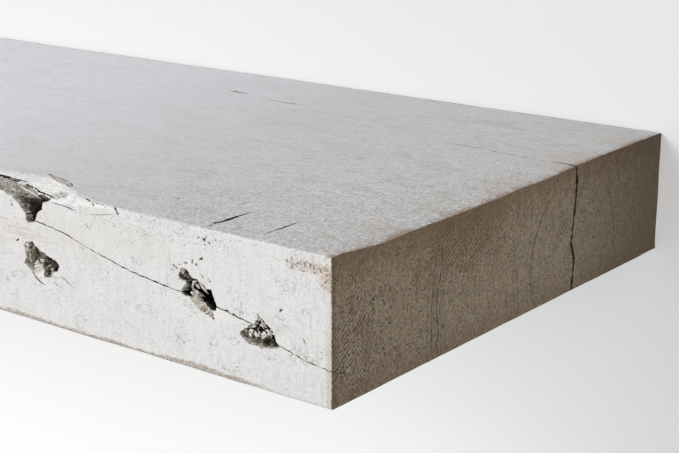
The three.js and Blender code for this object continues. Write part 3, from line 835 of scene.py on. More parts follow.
def noise(tree, places, size, detail=2.0, seed=0.0, roughness=0.55, distortion=0.0):
    """Noise around 0.5, with cells of one size in millimetres or of one along each axis."""
    moved = tree.nodes.new("ShaderNodeVectorMath")
    moved.operation = "MULTIPLY_ADD"
    plug(tree, moved.inputs[0], places)
    moved.inputs[1].default_value = [1 / edge for edge in np.broadcast_to(size, 3)]
    moved.inputs[2].default_value = (seed * 3.7, seed * 1.9, seed * 5.3)
    node = tree.nodes.new("ShaderNodeTexNoise")
    tree.links.new(moved.outputs[0], node.inputs["Vector"])
    node.inputs["Scale"].default_value = 1.0
    node.inputs["Detail"].default_value = detail
    node.inputs["Roughness"].default_value = roughness
    node.inputs["Distortion"].default_value = distortion
    return Field(tree, node.outputs[0])


def over(below, above, share):
    """A colour laid over another: all of it where the share is one. Either may be a field or (r, g, b)."""
    node = share.tree.nodes.new("ShaderNodeMix")
    node.data_type = "RGBA"
    plug(share.tree, node.inputs[0], share)
    for socket, colour in ((node.inputs[6], below), (node.inputs[7], above)):
        plug(share.tree, socket, colour if isinstance(colour, Field) else (*colour, 1))
    return Field(share.tree, node.outputs[2])


def coated(paint, *coats):
    """The paint with each (colour, share) laid over it in turn."""
    for colour, share in coats:
        paint = over(paint, colour, share)
    return paint


def between(below, above, share):
    """A value that goes from the first to the second as the share goes from 0 to 1."""
    node = share.tree.nodes.new("ShaderNodeMix")
    plug(share.tree, node.inputs[0], share)
    plug(share.tree, node.inputs[2], below)
    plug(share.tree, node.inputs[3], above)
    return Field(share.tree, node.outputs[0])


def ramp(field, *stops):
    """A colour read from a row of (place, colour) stops."""
    node = field.tree.nodes.new("ShaderNodeValToRGB")
    plug(field.tree, node.inputs[0], field)
    for stop, (place, colour) in zip((*node.color_ramp.elements, *[None] * len(stops)), stops):
        stop = stop or node.color_ramp.elements.new(place)
        stop.position = place
        stop.color = (*colour, 1)
    return Field(field.tree, node.outputs[0])


def new_group(name, inputs, outputs):
    """An empty node group, with its inputs as fields by name and a function that sets its outputs."""
    group = bpy.data.node_groups.new(name, "ShaderNodeTree")
    kinds = {"value": "NodeSocketFloat", "vector": "NodeSocketVector", "colour": "NodeSocketColor"}
    for label, kind in inputs.items():
        group.interface.new_socket(label, in_out="INPUT", socket_type=kinds[kind])
    for label, kind in outputs.items():
        group.interface.new_socket(label, in_out="OUTPUT", socket_type=kinds[kind])
    entry = group.nodes.new("NodeGroupInput")
    leave = group.nodes.new("NodeGroupOutput")
    fields = {label: Field(group, entry.outputs[label]) for label in inputs}

    def send(**results):
        for label, field in results.items():
            group.links.new(field.socket, leave.inputs[label])

    return group, fields, send


def use_group(tree, group, **inputs):
    """The group placed in a tree, with its outputs as fields by name."""
    node = tree.nodes.new("ShaderNodeGroup")
    node.node_tree = group
    for label, value in inputs.items():
        plug(tree, node.inputs[label], value)
    return {output.name: Field(tree, output) for output in node.outputs}


def start_finish(material):
    """The node tree of a new material and its shader."""
    material.use_nodes = True
    return material.node_tree, material.node_tree.nodes["Principled BSDF"]


def raise_grain(tree, shader, height, strength, lift):
    """Bumps a finish by a height field, which lifts it by so many millimetres."""
    bump = tree.nodes.new("ShaderNodeBump")
    bump.inputs["Strength"].default_value = strength
    bump.inputs["Distance"].default_value = lift * MM
    plug(tree, bump.inputs["Height"], height)
    tree.links.new(bump.outputs[0], shader.inputs["Normal"])


def stored(tree, name):
    """A value kept on the mesh's points."""
    node = tree.nodes.new("ShaderNodeAttribute")
    node.attribute_name = name
    return Field(tree, node.outputs["Fac"])


def timber_places():
    """Object coordinates as millimetres along, back and up on the timber."""
    outputs = dict(along="value", back="value", up="value", places="vector")
    group, _, send = new_group("timber_places", {}, outputs)
    read = group.nodes.new("ShaderNodeTexCoord")
    moved = group.nodes.new("ShaderNodeVectorMath")
    moved.operation = "MULTIPLY_ADD"
    group.links.new(read.outputs["Object"], moved.inputs[0])
    moved.inputs[1].default_value = (-1 / MM, 1 / MM, 1 / MM)
    moved.inputs[2].default_value = (timber_high[0] / MM, -timber_low[1] / MM, -timber_low[2] / MM)
    apart = group.nodes.new("ShaderNodeSeparateXYZ")
    group.links.new(moved.outputs[0], apart.inputs[0])
    along, back, up = (Field(group, socket) for socket in apart.outputs)
    send(along=along, back=back, up=up, places=Field(group, moved.outputs[0]))
    return group


def bare_wood():
    """Bare softwood: brown fibres along the plank, darker by the given shade and tone, and their height."""
    group, given, send = new_group(
        "bare_wood", dict(places="vector", gloom="value"), dict(colour="colour", height="value")
    )
    places = given["places"]
    fibres = noise(group, places, (18, 1.5, 1.5), 3, 1, distortion=0.5)
    fine = noise(group, places, (1.6, 0.7, 0.7), 2, 2, 0.7)
    blots = noise(group, places, (4, 3, 3), 3, 3, 0.65)
    tone = fibres * 0.45 + fine * 0.55 + blots * 0.5 - given["gloom"] - 0.25
    colour = ramp(
        tone,
        (0.22, (0.014, 0.011, 0.008)),
        (0.38, (0.085, 0.064, 0.044)),
        (0.50, (0.215, 0.180, 0.138)),
        (0.62, (0.400, 0.350, 0.285)),
        (0.78, (0.640, 0.580, 0.490)),
    )
    send(colour=colour, height=fibres + fine * 0.6)
    return group


def whitewash():
    """Rubbed white paint: streaks of the given size, salt-and-pepper grain, hairlines, specks and wear."""
    group, given, send = new_group(
        "whitewash",
        dict(places="vector", streak="vector", wear="value", grey="value", marks="value"),
        dict(colour="colour", height="value", roughness="value"),
    )
    places = given["places"]
    stretched = group.nodes.new("ShaderNodeVectorMath")
    stretched.operation = "DIVIDE"
    plug(group, stretched.inputs[0], places)
    plug(group, stretched.inputs[1], given["streak"])
    streaks = noise(group, Field(group, stretched.outputs[0]), 1, 4, 4, 0.7, distortion=0.4)
    grain = noise(group, places, (0.95, 0.85, 0.85), 2, 5, 0.8)
    clouds = noise(group, places, (26, 15, 12), 4, 6, 0.6)
    clusters = noise(group, places, (13, 9, 9), 3, 7, 0.6)
    worn = (grain * 0.55 + streaks * 0.45 + given["wear"]).rise(0.60, 0.72)
    specks = noise(group, places, 0.9, 1, 8, 0.7).rise(0.63, 0.72) * clusters.rise(0.46, 0.68)
    hairs = (noise(group, places, 9, 3, 9, 0.6) - 0.5).math("ABSOLUTE").rise(0.010, 0.002)
    marks = specks.most(hairs * clusters.rise(0.53, 0.64) * 0.8) * given["marks"]
    colour = coated(
        (0.835, 0.831, 0.820),
        ((0.745, 0.742, 0.734), streaks.rise(0.35, 0.70) * 0.8),
        ((0.640, 0.620, 0.590), clouds.rise(0.50, 0.75) * 0.22),
        ((0.420, 0.385, 0.340), worn * 0.6),
        ((0.240, 0.230, 0.220), grain.rise(0.50, 0.70) * given["grey"]),
        ((0.920, 0.920, 0.915), grain.rise(0.50, 0.32) * given["grey"]),
        ((0.230, 0.215, 0.195), marks),
    )
    send(colour=colour, height=streaks + grain * 0.5 - worn * 0.5 - marks, roughness=worn * 0.12 + 0.72)
    return group


places_group, bare_group, wash_group = timber_places(), bare_wood(), whitewash()


def patch(across, up, centre, half, edge, ragged=0.9):
    """A soft-edged oval mark round a centre, with its edge broken up by a noise field."""
    wide = (across - centre[0]) * (1 / half[0])
    tall = (up - centre[1]) * (1 / half[1])
    return (wide * wide + tall * tall).math("SQRT").stray(edge, 4 * ragged).rise(1.15, 0.75)


class TimberFields:
    """The fields that the timber's finish is worked out from, in millimetres and in shares."""

    def __init__(self, tree):
        where = use_group(tree, places_group)
        self.tree, self.spot = tree, where["places"]
        self.along, self.back, self.up = where["along"], where["back"], where["up"]
        self.bare, self.gloom = stored(tree, "bare"), stored(tree, "gloom")
        self.edge = self.noise(3.2, 4, 11, 0.65)
        self.broad = self.noise((45, 22, 14), 3, 12)
        self.flecks = self.noise(1.1, 2, 14, 0.6)
        self.fine = self.noise(0.6, 1, 16, 0.6)
        self.specks = self.noise(0.8, 1, 18, 0.7)
        slumped = self.along.rise(34, 0) * self.back.rise(3, 30) * 2.8
        top_line = (timber_height - 1.0, timber_height - 0.45)
        self.top = (self.up.stray(self.edge, 1.6) + slumped).rise(*top_line)
        self.not_top = self.top.rest()

    def noise(self, size, *values, **named):
        """Noise over the timber, with the values that the function above takes."""
        return noise(self.tree, self.spot, size, *values, **named)


def top_coats(at):
    """The top: wavy streaks and brush marks, with painted light.

    Painted shade greys its near part and the near corner, and a painted blue sheen lies far along.
    """
    wavy = at.noise((8, 2.4, 9), 3, 13, 0.65, distortion=1.3)
    blotches = at.noise((36, 17, 12), 3, 17, 0.6, distortion=0.8)
    # Painted shade: the top is drawn greyer by the near corner.
    corner_painted_shade = at.back.stray(at.broad, 90).rise(130, 10) * at.along.stray(at.broad, 90).rise(160, 60) * at.top
    corner_painted_shade = corner_painted_shade.most(at.along.stray(at.broad, 60).rise(110, 10) * at.top * 0.7)
    # Painted shade: the near part of the top is drawn greyer than the far part.
    near_painted_shade = at.along.stray(at.broad, 90).rise(440, 190) * between(0.40, 0.52, at.along.rise(60, 180))
    tooth = at.noise((0.9, 2.0, 9), 1, 19, 0.8)
    toothed = between(0.05, 0.50, (at.along + at.back * 0.8).rise(300, 20)) * at.top
    return [
        ((0.450, 0.425, 0.400), wavy.rise(0.51, 0.64) * at.top * 0.60),
        ((0.520, 0.440, 0.390), (wavy * 0.35 + blotches * 0.7).rise(0.53, 0.66) * at.top * 0.40),
        ((0.460, 0.445, 0.432), corner_painted_shade * 0.22),
        ((0.500, 0.500, 0.505), near_painted_shade * at.top),
        ((0.250, 0.240, 0.228), tooth.rise(0.52, 0.70) * toothed),
        ((0.930, 0.930, 0.925), tooth.rise(0.47, 0.32) * toothed),
        # Painted sheen: the top is drawn bluer and whiter far along, a painted reflection.
        ((0.810, 0.820, 0.890), at.along.stray(at.broad, 120).rise(40, 330) * at.top * 0.56),
    ]


def front_coats(at):
    """The front: scuffs, dark flecks, the tan band by the corner, dust above the knots and combed paint."""
    scuffs = at.noise((4, 9, 0.8), 2, 33, 0.7, distortion=1.6).rise(0.58, 0.68)
    scuffs = scuffs * at.noise((12, 9, 7), 3, 34, 0.6).rise(0.46, 0.60)
    band = patch(at.along, at.up, (8, 57), (17, 2.4), at.edge, 0.5)
    band = band.most(patch(at.along, at.up, (1.5, 54), (5.5, 5.5), at.edge, 0.5)) * at.not_top
    tan = band * (at.edge * 0.3 + at.specks * 0.7).rise(0.34, 0.52) * (at.along.rise(20, 3) * 0.65 + 0.3)
    dust = patch(at.along, at.up, (88, 57.5), (44, 4.8), at.edge, 0.7)
    combed = at.noise((0.9, 8, 14), 2, 20, 0.7).rise(0.54, 0.66) * at.along.rise(46, 2)
    return [
        ((0.330, 0.312, 0.290), scuffs * at.not_top * 0.6),
        ((0.055, 0.045, 0.036), at.flecks.rise(0.725, 0.77) * between(0.6, 0.7, at.top)),
        ((0.715, 0.570, 0.425), tan),
        ((0.230, 0.130, 0.080), band * at.fine.rise(0.52, 0.62) * 0.7),
        ((0.100, 0.052, 0.030), band * at.specks.rise(0.55, 0.61) * 0.95),
        ((0.100, 0.085, 0.070), dust * at.specks.rise(0.62, 0.69) * at.not_top * 0.85),
        ((0.480, 0.465, 0.445), combed * at.not_top * 0.5),
    ]


def rubbed_coats(at):
    """What wear and the wood did to the front: a smudge on the break, rubbed edges, and tints.

    Painted light is laid too: highlights on two knots' right rims, and every side but the top whiter.
    """
    smudge = patch(at.along, at.back, (158.5, 5.2), (6, 3.2), at.edge, 0.5) * at.up.rise(56, 58)
    sill = at.up.stray(at.edge, 5).stray(at.broad, 5).rise(2.9, 1.6)
    sill = sill * at.along.stray(at.edge, 20).rise(22, 50) * at.back.rise(3, 1)
    sill_colour = over((0.240, 0.190, 0.145), (0.560, 0.465, 0.390), at.flecks.rise(0.40, 0.62))
    corner = at.along.stray(at.edge, 6).rise(4.2, 2.2) * at.back.rise(2, 0.5)
    saw = (at.along * 0.8 - at.up * 0.6) * (2 * math.pi / corner_saw_period) + at.edge * 3
    saw = saw.math("SINE").rise(0.1, 0.9)
    corner_colour = over((0.700, 0.640, 0.545), (0.300, 0.225, 0.155), saw * 0.55)
    # Painted highlights: whiter patches on the right rims of the deep and the crumbled knot.
    rim_painted_highlight = patch(at.along, at.up, (58.5, 28), (5, 3), at.edge, 0.4)
    rim_painted_highlight = rim_painted_highlight.most(patch(at.along, at.up, (25, 23), (4, 3), at.edge, 0.4)) * at.not_top
    tint = patch(at.along, at.up, (150, 52), (40, 9), at.broad, 1.2)
    tint = tint.most(patch(at.along, at.up, (205, 42), (24, 9), at.broad, 1.2)) * at.not_top
    reddened = patch(at.along, at.up, (202, 44), (36, 7), at.broad, 1.2) * at.not_top
    grained = at.noise((24, 9, 1.1), 3, 35, 0.6).rise(0.52, 0.62)
    return [
        ((0.130, 0.132, 0.142), smudge * at.specks.rise(0.40, 0.55) * 0.85),
        (sill_colour, sill * 0.85),
        (corner_colour, corner * (at.up.rise(40, 20) * 0.6 + 0.3)),
        ((0.930, 0.930, 0.925), rim_painted_highlight * 0.35),
        ((0.720, 0.640, 0.560), tint * 0.16),
        ((0.430, 0.335, 0.285), reddened * grained * 0.30),
        # Painted light: every side but the top is drawn a little whiter than the top's same paint.
        ((0.960, 0.955, 0.945), at.not_top * 0.11),
    ]


# The heart of the log on the end, the spacing of its growth rings and of the saw's marks, and the rings
# that stand out: radius, half width and strength.
heart_back, heart_up = 190, 19
ring_period, end_saw_period, corner_saw_period = 3.3, 1.9, 1.5
ring_lines = [
    (40.3, 0.7, 0.85), (33.0, 0.5, 0.3), (44.6, 0.5, 0.3), (117.6, 0.6, 0.8), (113.2, 0.4, 0.5),
    (115.4, 0.4, 0.6), (121.2, 0.55, 0.7), (119.4, 0.4, 0.5), (123.4, 0.4, 0.45), (125.3, 0.5, 0.5),
    (20.5, 0.5, 0.3), (99.0, 0.5, 0.25), (143.0, 0.5, 0.25), (56, 0.6, 0.35),
]


def end_grain(at):
    """The sawn end: taupe speckle, growth rings round the heart, dark ring lines and slanting saw marks.

    Painted shade darkens it towards the bottom and towards the back by the wall. Given back are its
    colour and its height.
    """
    back, up, edge = at.back, at.up, at.edge
    far = back - heart_back
    high = up - heart_up
    wobble = at.noise(9, 2, 21) - 0.5
    radius = (far * far + high * high).math("SQRT") + wobble * 5
    waves = (radius * (2 * math.pi / ring_period)).math("SINE") * 0.5 + 0.5
    speckle = at.noise(0.7, 2, 23, 0.9)
    blots = at.noise((16, 12, 9), 3, 24)
    sawn = ramp(
        speckle * 1.15 + blots * 0.30 + waves * 0.04 - 0.25,
        (0.26, (0.095, 0.068, 0.042)),
        (0.40, (0.285, 0.222, 0.150)),
        (0.50, (0.385, 0.314, 0.226)),
        (0.72, (0.520, 0.440, 0.330)),
    )
    pits = at.noise(1.0, 1, 26, 0.7).rise(0.57, 0.65)
    pits = pits * (blots.rise(0.35, 0.6) + back.rise(80, 0) * 0.3)
    mottle = at.noise((30, 5, 9), 4, 30, 0.7, distortion=0.6)
    chaff = at.noise(1.0, 1, 29, 0.7).rise(0.62, 0.72)

    drawn = [(radius - place).math("ABSOLUTE").rise(half, half * 0.25) * strength
             for place, half, strength in ring_lines]
    lines = drawn[0].most(*drawn[1:]) * at.noise((40, 7, 7), 2, 25).rise(0.24, 0.44)
    lines = lines * at.noise(1.1, 1, 27).rise(0.28, 0.50)
    lines = lines * back.rise(235, 175).most(0.65) * (up.rise(58, 42) * 0.85 + 0.15)

    reddish = patch(back, up, (94, 50), (34, 16), blots, 0.8)
    hatched = patch(back, up, (92, 50), (34, 15), edge).most(
        patch(back, up, (12, 20), (17, 22), edge) * 0.8,
        blots.rise(0.40, 0.62) * 0.42,
    )
    slant = (back * 0.63 - up * 0.78) * (2 * math.pi / end_saw_period) + wobble * 7
    hatch = slant.math("SINE").rise(0.2, 0.95) * hatched * at.noise(1.3, 1, 28).rise(0.3, 0.55)
    colour = coated(
        sawn,
        ((0.060, 0.040, 0.025), pits * 0.8),
        ((0.105, 0.072, 0.045), mottle.rise(0.50, 0.68) * 0.40),
        ((0.520, 0.440, 0.345), mottle.rise(0.46, 0.30) * 0.22),
        ((0.560, 0.480, 0.380), chaff * 0.55),
        ((0.055, 0.038, 0.024), lines),
        ((0.230, 0.132, 0.072), reddish * 0.26),
        ((0.075, 0.046, 0.026), hatch),
        ((0.190, 0.120, 0.068), up.stray(edge, 30).rise(44, 64) * 0.66),
        # Painted shade: darker towards the bottom of the end.
        ((0.165, 0.120, 0.080), up.stray(edge, 24).rise(17, 0) * 0.40),
        ((0.150, 0.098, 0.058), back.stray(edge, 3).rise(3.4, 1.2) * 0.55),
        # Painted shade: darker towards the back, by the wall.
        ((0.070, 0.046, 0.028), back.stray(edge, 40).rise(150, 288) * 0.72),
    )
    return colour, speckle * 0.8 + waves * 0.3 - lines - hatch * 0.4 - pits * 0.5


def unpainted(at):
    """Where no paint was laid or none is left: the back, and streaks along the underside."""
    bottom = at.up.stray(at.edge, 3).rise(1.6, 0.5) * at.back.rise(2, 5)
    rear = at.back.stray(at.edge, 4).rise(timber_depth - 2.4, timber_depth - 0.9)
    return rear.most(bottom * at.noise((70, 3.5, 9), 3, 22, 0.65).rise(0.50, 0.62) * 0.55)


def finish_timber(material):
    """Lays the paint, the wear and the bare wood over the timber by place and by how bare each point is."""
    tree, shader = start_finish(material)
    at = TimberFields(tree)
    washes = (
        dict(streak=(2.2, 9, 12), wear=-0.035, grey=0.28, marks=0.85),
        dict(streak=(7, 2.0, 9), wear=-0.02, grey=0.62, marks=0.35),
    )
    front, on_top = (use_group(tree, wash_group, places=at.spot, **wash) for wash in washes)
    paint = over(front["colour"], on_top["colour"], at.top)
    paint = coated(paint, *top_coats(at), *front_coats(at), *rubbed_coats(at))
    height = between(front["height"], on_top["height"], at.top)

    end_colour, end_height = end_grain(at)
    from_end = at.along.math("MINIMUM", at.along * -1 + timber_length).stray(at.edge, 1.3)
    end = from_end.rise(1.05, 0.6)
    rubbed = from_end.rise(5.5, 1.0) * (at.edge * 0.5 + at.fine * 0.35 + at.broad * 0.25).rise(0.48, 0.60)
    warm = from_end.rise(34, 4) * (at.edge * 0.4 + at.broad * 0.6).rise(0.42, 0.60)
    paint = coated(
        paint,
        ((0.400, 0.300, 0.235), warm * at.top * 0.26),
        ((0.330, 0.228, 0.165), rubbed * at.top * 0.9),
        (end_colour, end),
    )
    height = between(height, end_height, end)

    wood = use_group(tree, bare_group, places=at.spot, gloom=at.gloom)
    dabs = (at.noise((2.0, 2.0, 1.5), 3, 32, 0.6) - at.gloom * 0.6).rise(0.44, 0.52)
    bare_colour = coated(
        wood["colour"],
        ((0.700, 0.655, 0.590), dabs * 0.7),
        ((0.235, 0.240, 0.255), at.up.rise(53, 59) * 0.4),
    )
    bare = at.bare.stray(at.noise((6, 0.9, 0.7), 2, 15), 0.9).rise(0.40, 0.56) * (at.bare * 0.85 + 0.15)
    bare = bare.most(unpainted(at) * end.rest())
    plug(tree, shader.inputs["Base Color"], over(paint, bare_colour, bare))
    plug(tree, shader.inputs["Roughness"], between(front["roughness"], 0.85, bare))
    shader.inputs["Specular IOR Level"].default_value = 0.1
    raise_grain(tree, shader, between(height, wood["height"] * 1.5, bare), 0.5, 0.35)


def finish_cut(material, gloom):
    """Bare wood inside the timber: the given value darkens it, and below zero lightens it."""
    tree, shader = start_finish(material)
    where = use_group(tree, places_group)
    wood = use_group(tree, bare_group, places=where["places"], gloom=gloom)
    plug(tree, shader.inputs["Base Color"], wood["colour"])
    shader.inputs["Roughness"].default_value = 0.85
    raise_grain(tree, shader, wood["height"], 0.6, 0.4)


finish_timber(whitewashed)
# Fresh routed and bored wood is paler; the splits' walls get painted shade.
finish_cut(fresh_cut, -0.12)
finish_cut(split_painted_shade, 0.22)

# Crumbs, shards and splinters left in the knots.
# Dry remains of the fallen knots and torn fibres that still hang in their hollows, part of them painted
# over. Each crumb has flat broken faces; each splinter is a thin strip that tapers to both ends.
crumb_sides, crumb_rings, crumb_planes = 12, 8, 10
splinter_step = 0.35


def crumb(along, up, back, size, seed):
    """Rings of a broken chip: in each direction its radius is that of the nearest of ten random planes."""
    draw = np.random.default_rng(seed)
    faces = draw.normal(size=(crumb_planes, 3))
    faces /= np.linalg.norm(faces, axis=1)[:, None]
    near = draw.uniform(0.5, 1.0, crumb_planes)
    polar = np.linspace(0.25, math.pi - 0.25, crumb_rings)[:, None]
    round_it = np.linspace(0, 2 * math.pi, crumb_sides, endpoint=False)[None, :]
    flat = np.sin(polar)
    way = np.stack([flat * np.cos(round_it), flat * np.sin(round_it), np.cos(polar) + 0 * round_it], -1)
    facing = way @ faces.T
    radius = np.where(facing > 0.08, near / np.maximum(facing, 0.08), 9).min(axis=-1).clip(0.4, 1.35)
    spin = np.linalg.qr(draw.normal(size=(3, 3)))[0]
    shape = (way * radius[..., None]) * np.array(size) / 2
    return shape @ spin.T + np.array([along, back, up])


def splinter(corners, width, thick, seed, curl=0.0):
    """Rings of a thin strip along a line: a flat six-sided section that narrows to a point at both ends."""
    path, at = walk(corners, splinter_step)
    share = at / at[-1]
    way = np.gradient(path, axis=0)
    way /= np.linalg.norm(way, axis=1)[:, None]
    side = np.cross(way, (0, -1, 0))
    side /= np.linalg.norm(side, axis=1)[:, None]
    outwards = np.cross(side, way)
    roll = curl * share[:, None] + 0.4 * ripple(path, 3, seed)[:, None]
    rolled = side * np.cos(roll) + outwards * np.sin(roll)
    outwards = outwards * np.cos(roll) - side * np.sin(roll)
    wide = width / 2 * np.sin(math.pi * np.clip(share * 0.96 + 0.02, 0, 1)) ** 0.6
    wide = wide * (1 + 0.3 * ripple(path, 1.1, seed + 1))
    tall = thick / 2 * (0.35 + 0.65 * np.sin(math.pi * share))
    section = [(1, 0), (0.55, 1), (-0.5, 0.9), (-1, 0), (-0.55, -1), (0.5, -0.9)]
    rings = [path + rolled * (wide * x)[:, None] + outwards * (tall * y)[:, None] for x, y in section]
    return np.stack(rings, axis=1)


def loose_wood(name, *bundles, paleness=(), least_pale=0.0):
    """One piece of several crumbs or splinters, in millimetres on the timber, none proud of its faces.

    Each is paler the more white paint it has kept, which a value on its points tells the finish. The
    first ones have the values given, and the rest are spread between the least and one.
    """
    placed, pale = [], []
    for number, rings in enumerate(bundles):
        spread = least_pale + (1 - least_pale) * ((0.618 * number + 0.45) % 1)
        own = paleness[number] if number < len(paleness) else spread
        pale += [own] * (rings.shape[0] * rings.shape[1])
        rings[..., 1] = np.maximum(rings[..., 1], 0.05)
        rings[..., 2] = np.minimum(rings[..., 2], timber_height - 0.05)
        placed.append(timber_place(rings.reshape(-1, 3)).reshape(rings.shape))
    piece = closed_skin(name, *placed)
    piece.data.materials.append(loose_finish)
    layer = piece.data.attributes.new("pale", "FLOAT", "POINT")
    layer.data.foreach_set("value", np.array(pale, np.float32))
    piece.data.set_sharp_from_angle(angle=math.radians(32))
    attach(piece, "board")


def scatter(name, count, least, most, seed):
    """Crumbs strewn over the floor of the named hollow, with sizes between the least and the most."""
    draw = np.random.default_rng(seed)
    outline = hollows[name]["outline"]
    tried = draw.uniform(outline.min(axis=0), outline.max(axis=0), (count * 3, 2))
    tried = tried[inside(outline, *tried.T) > 0.5][:count]
    return [
        crumb(along, up, back - 0.2, draw.uniform(least, most, 3), seed * 100 + number)
        for number, (along, back, up) in enumerate(on_timber(*tried))
    ]


def finish_loose(material):
    """Bare wood, painted where noise and paleness are high.

    Further back it has less paint and more painted shade.
    """
    tree, shader = start_finish(material)
    where = use_group(tree, places_group)
    spot = where["places"]
    back = where["back"] * where["up"].rise(62, 57)
    pale = stored(tree, "pale")
    wood = use_group(tree, bare_group, places=spot, gloom=pale.rise(0.45, 0.0) * 0.20 - 0.07)
    painted = (noise(tree, spot, (1.8, 1.8, 1.3), 2, 31) + pale - back * 0.035).rise(0.84, 0.98)
    colour = coated(
        wood["colour"],
        ((0.800, 0.775, 0.725), painted * 0.92),
        # Painted shade: near black deep in a hollow.
        ((0.030, 0.024, 0.018), back.rise(5, 15) * 0.75),
    )
    plug(tree, shader.inputs["Base Color"], colour)
    shader.inputs["Roughness"].default_value = 0.85
    raise_grain(tree, shader, wood["height"], 0.5, 0.2)


loose_finish = bpy.data.materials.new("loose_wood")
finish_loose(loose_finish)

# The crumbled knot: chips strewn over its shelf, none within the spacing of one before it, and five bright
# strips, each an (along, up, length, slope).
draw = np.random.default_rng(7)
tried = draw.uniform((29, 21.5), (48, 31), (160, 2))
shelf_line = np.interp(tried[:, 0], (30, 33, 41, 48), (24.2, 22.6, 22.0, 22.6))
tried = tried[(inside(hollows["crumbled seat"]["outline"], *tried.T) > 0.3) & (tried[:, 1] > shelf_line)]
spacing = 0.95
chosen = tried[:1]
for place in tried:
    if np.linalg.norm(chosen - place, axis=1).min() > spacing:
        chosen = np.concatenate([chosen, place[None]])
crumbs = [
    crumb(along, up, draw.uniform(0.8, 2.6), draw.uniform((0.7, 0.7, 0.6), (2.8, 1.8, 1.6)), 100 + number)
    for number, (along, up) in enumerate(chosen)
]
bright_strips = [
    (42.5, 24.2, 2.6, -1), (35.0, 24.4, 1.9, 2), (32.7, 25.3, 2.3, 2.4),
    (39.1, 23.3, 2.6, 1.6), (35.9, 22.7, 2.2, -1.4),
]
strips = [
    splinter([(along + long_way / 2, 0.9, up + 0.5 * slope), (along - long_way / 2, 0.7, up - 0.5 * slope)],
             1.1, 0.6, 160 + number, 0.6)
    for number, (along, up, long_way, slope) in enumerate(bright_strips)
]
loose_wood("knot_crumbs", *strips, *crumbs, paleness=[1] * len(strips), least_pale=0.3)
loose_wood(
    "deep_knot_shards",
    crumb(79.7, 42.2, 1.5, (2.8, 2.2, 2.4), 41),
    crumb(78.0, 40.4, 1.6, (3.4, 2.4, 3.2), 40),
    crumb(76.4, 38.9, 2.6, (2.4, 2.4, 2.4), 42),
    crumb(72.3, 37.0, 2.2, (2.6, 2.4, 4.8), 43),
    crumb(78.0, 34.2, 4.8, (3.0, 2.6, 2.4), 49),
    splinter([(74.6, 2.4, 33.9), (74.5, 1, 36.6), (73.2, 0.5, 39), (71.3, 0.7, 39.6)], 0.9, 0.7, 44, 0.3),
    splinter([(69.9, 0.4, 39.2), (68.2, 0.8, 37.1), (66.4, 1.8, 34.6)], 1.2, 0.6, 45, 0.3),
    splinter([(68.3, 0.3, 39.6), (66.8, 0.8, 38.0), (65.4, 1.8, 36.4)], 0.6, 0.4, 46),
    splinter([(76.2, 2.8, 34.6), (72.6, 2.2, 33.8), (69.2, 2.8, 32.6)], 1.9, 0.9, 48, 0.4),
    crumb(72.4, 32.4, 1.8, (4.6, 2.2, 2.0), 50),
    crumb(75.4, 32.6, 2.4, (3.0, 2.0, 1.8), 51),
    *scatter("deep lip", 26, 0.5, 1.5, 76),
    paleness=(0.42, 0.12, 0.05, 0.3, 0.1, 1, 0.6, 0.6, 0.42, 0.9, 0.5),
    least_pale=0.25,
)
loose_wood(
    "oval_knot_lumps",
    crumb(171.4, 28.4, 2.2, (3.2, 2.6, 2.6), 61),
    crumb(168.4, 29.2, 2.6, (3.0, 2.4, 2.4), 69),
    crumb(164.6, 27.4, 3.2, (2.6, 2.4, 2.4), 70),
    crumb(174.6, 33.4, 2.8, (3.4, 2.6, 3.0), 63),
    crumb(171.2, 30.0, 5.0, (4.0, 3.2, 3.2), 64),
    crumb(165.4, 28.2, 6.2, (4.2, 3.2, 3.0), 65),
    crumb(161.2, 28.0, 6.4, (3.4, 2.8, 2.4), 68),
    splinter([(174.6, 0.4, 24.6), (172.0, 0.3, 22.6), (168.6, 0.1, 20.6)], 0.8, 0.5, 66),
    crumb(175.8, 35.8, 1.4, (2.6, 2.0, 2.6), 67),
    crumb(173.4, 35.4, 2.4, (2.4, 2.0, 2.0), 72),
    crumb(176.2, 33.6, 1.6, (2.2, 1.6, 2.6), 73),
    crumb(176.0, 30.6, 1.8, (2.6, 1.8, 1.6), 74),
    crumb(173.6, 31.2, 2.8, (2.0, 2.0, 2.8), 75),
    crumb(175.0, 28.6, 1.6, (1.8, 1.4, 2.4), 76),
    crumb(170.6, 33.4, 3.4, (2.6, 2.0, 1.8), 77),
    *scatter("oval", 80, 0.5, 2.0, 71),
    paleness=(0.56, 0.50, 0.30, 0.35, 0.25, 0.12, 0.05, 0.3, 0.52, 0.36, 0.46, 0.4, 0.22, 0.5, 0.3),
    least_pale=0.1,
)
far_crumbs = {"far oval": 26, "far crumbled": 34, "far deep": 22, "end oval": 20}
for number, (name, count) in enumerate(far_crumbs.items()):
    loose_wood(f"{name.replace(' ', '_')}_crumbs", *scatter(name, count, 0.9, 3.2, 72 + number))
flake_ridge = on_timber((183, 84.5), (177, 81.2), (170, 78.2), (164, 76.6), (156, 74))
smudge_edge = on_timber((166, 66.5), (160, 65), (154, 61.8))
loose_wood(
    "lifted_flakes",
    splinter(flake_ridge + (0, 0, 0.35), 1.6, 1.0, 91, 0.2),
    splinter(smudge_edge + (0, 0, 0.15), 0.8, 0.6, 92, 0.3),
    paleness=(1, 0.9),
)
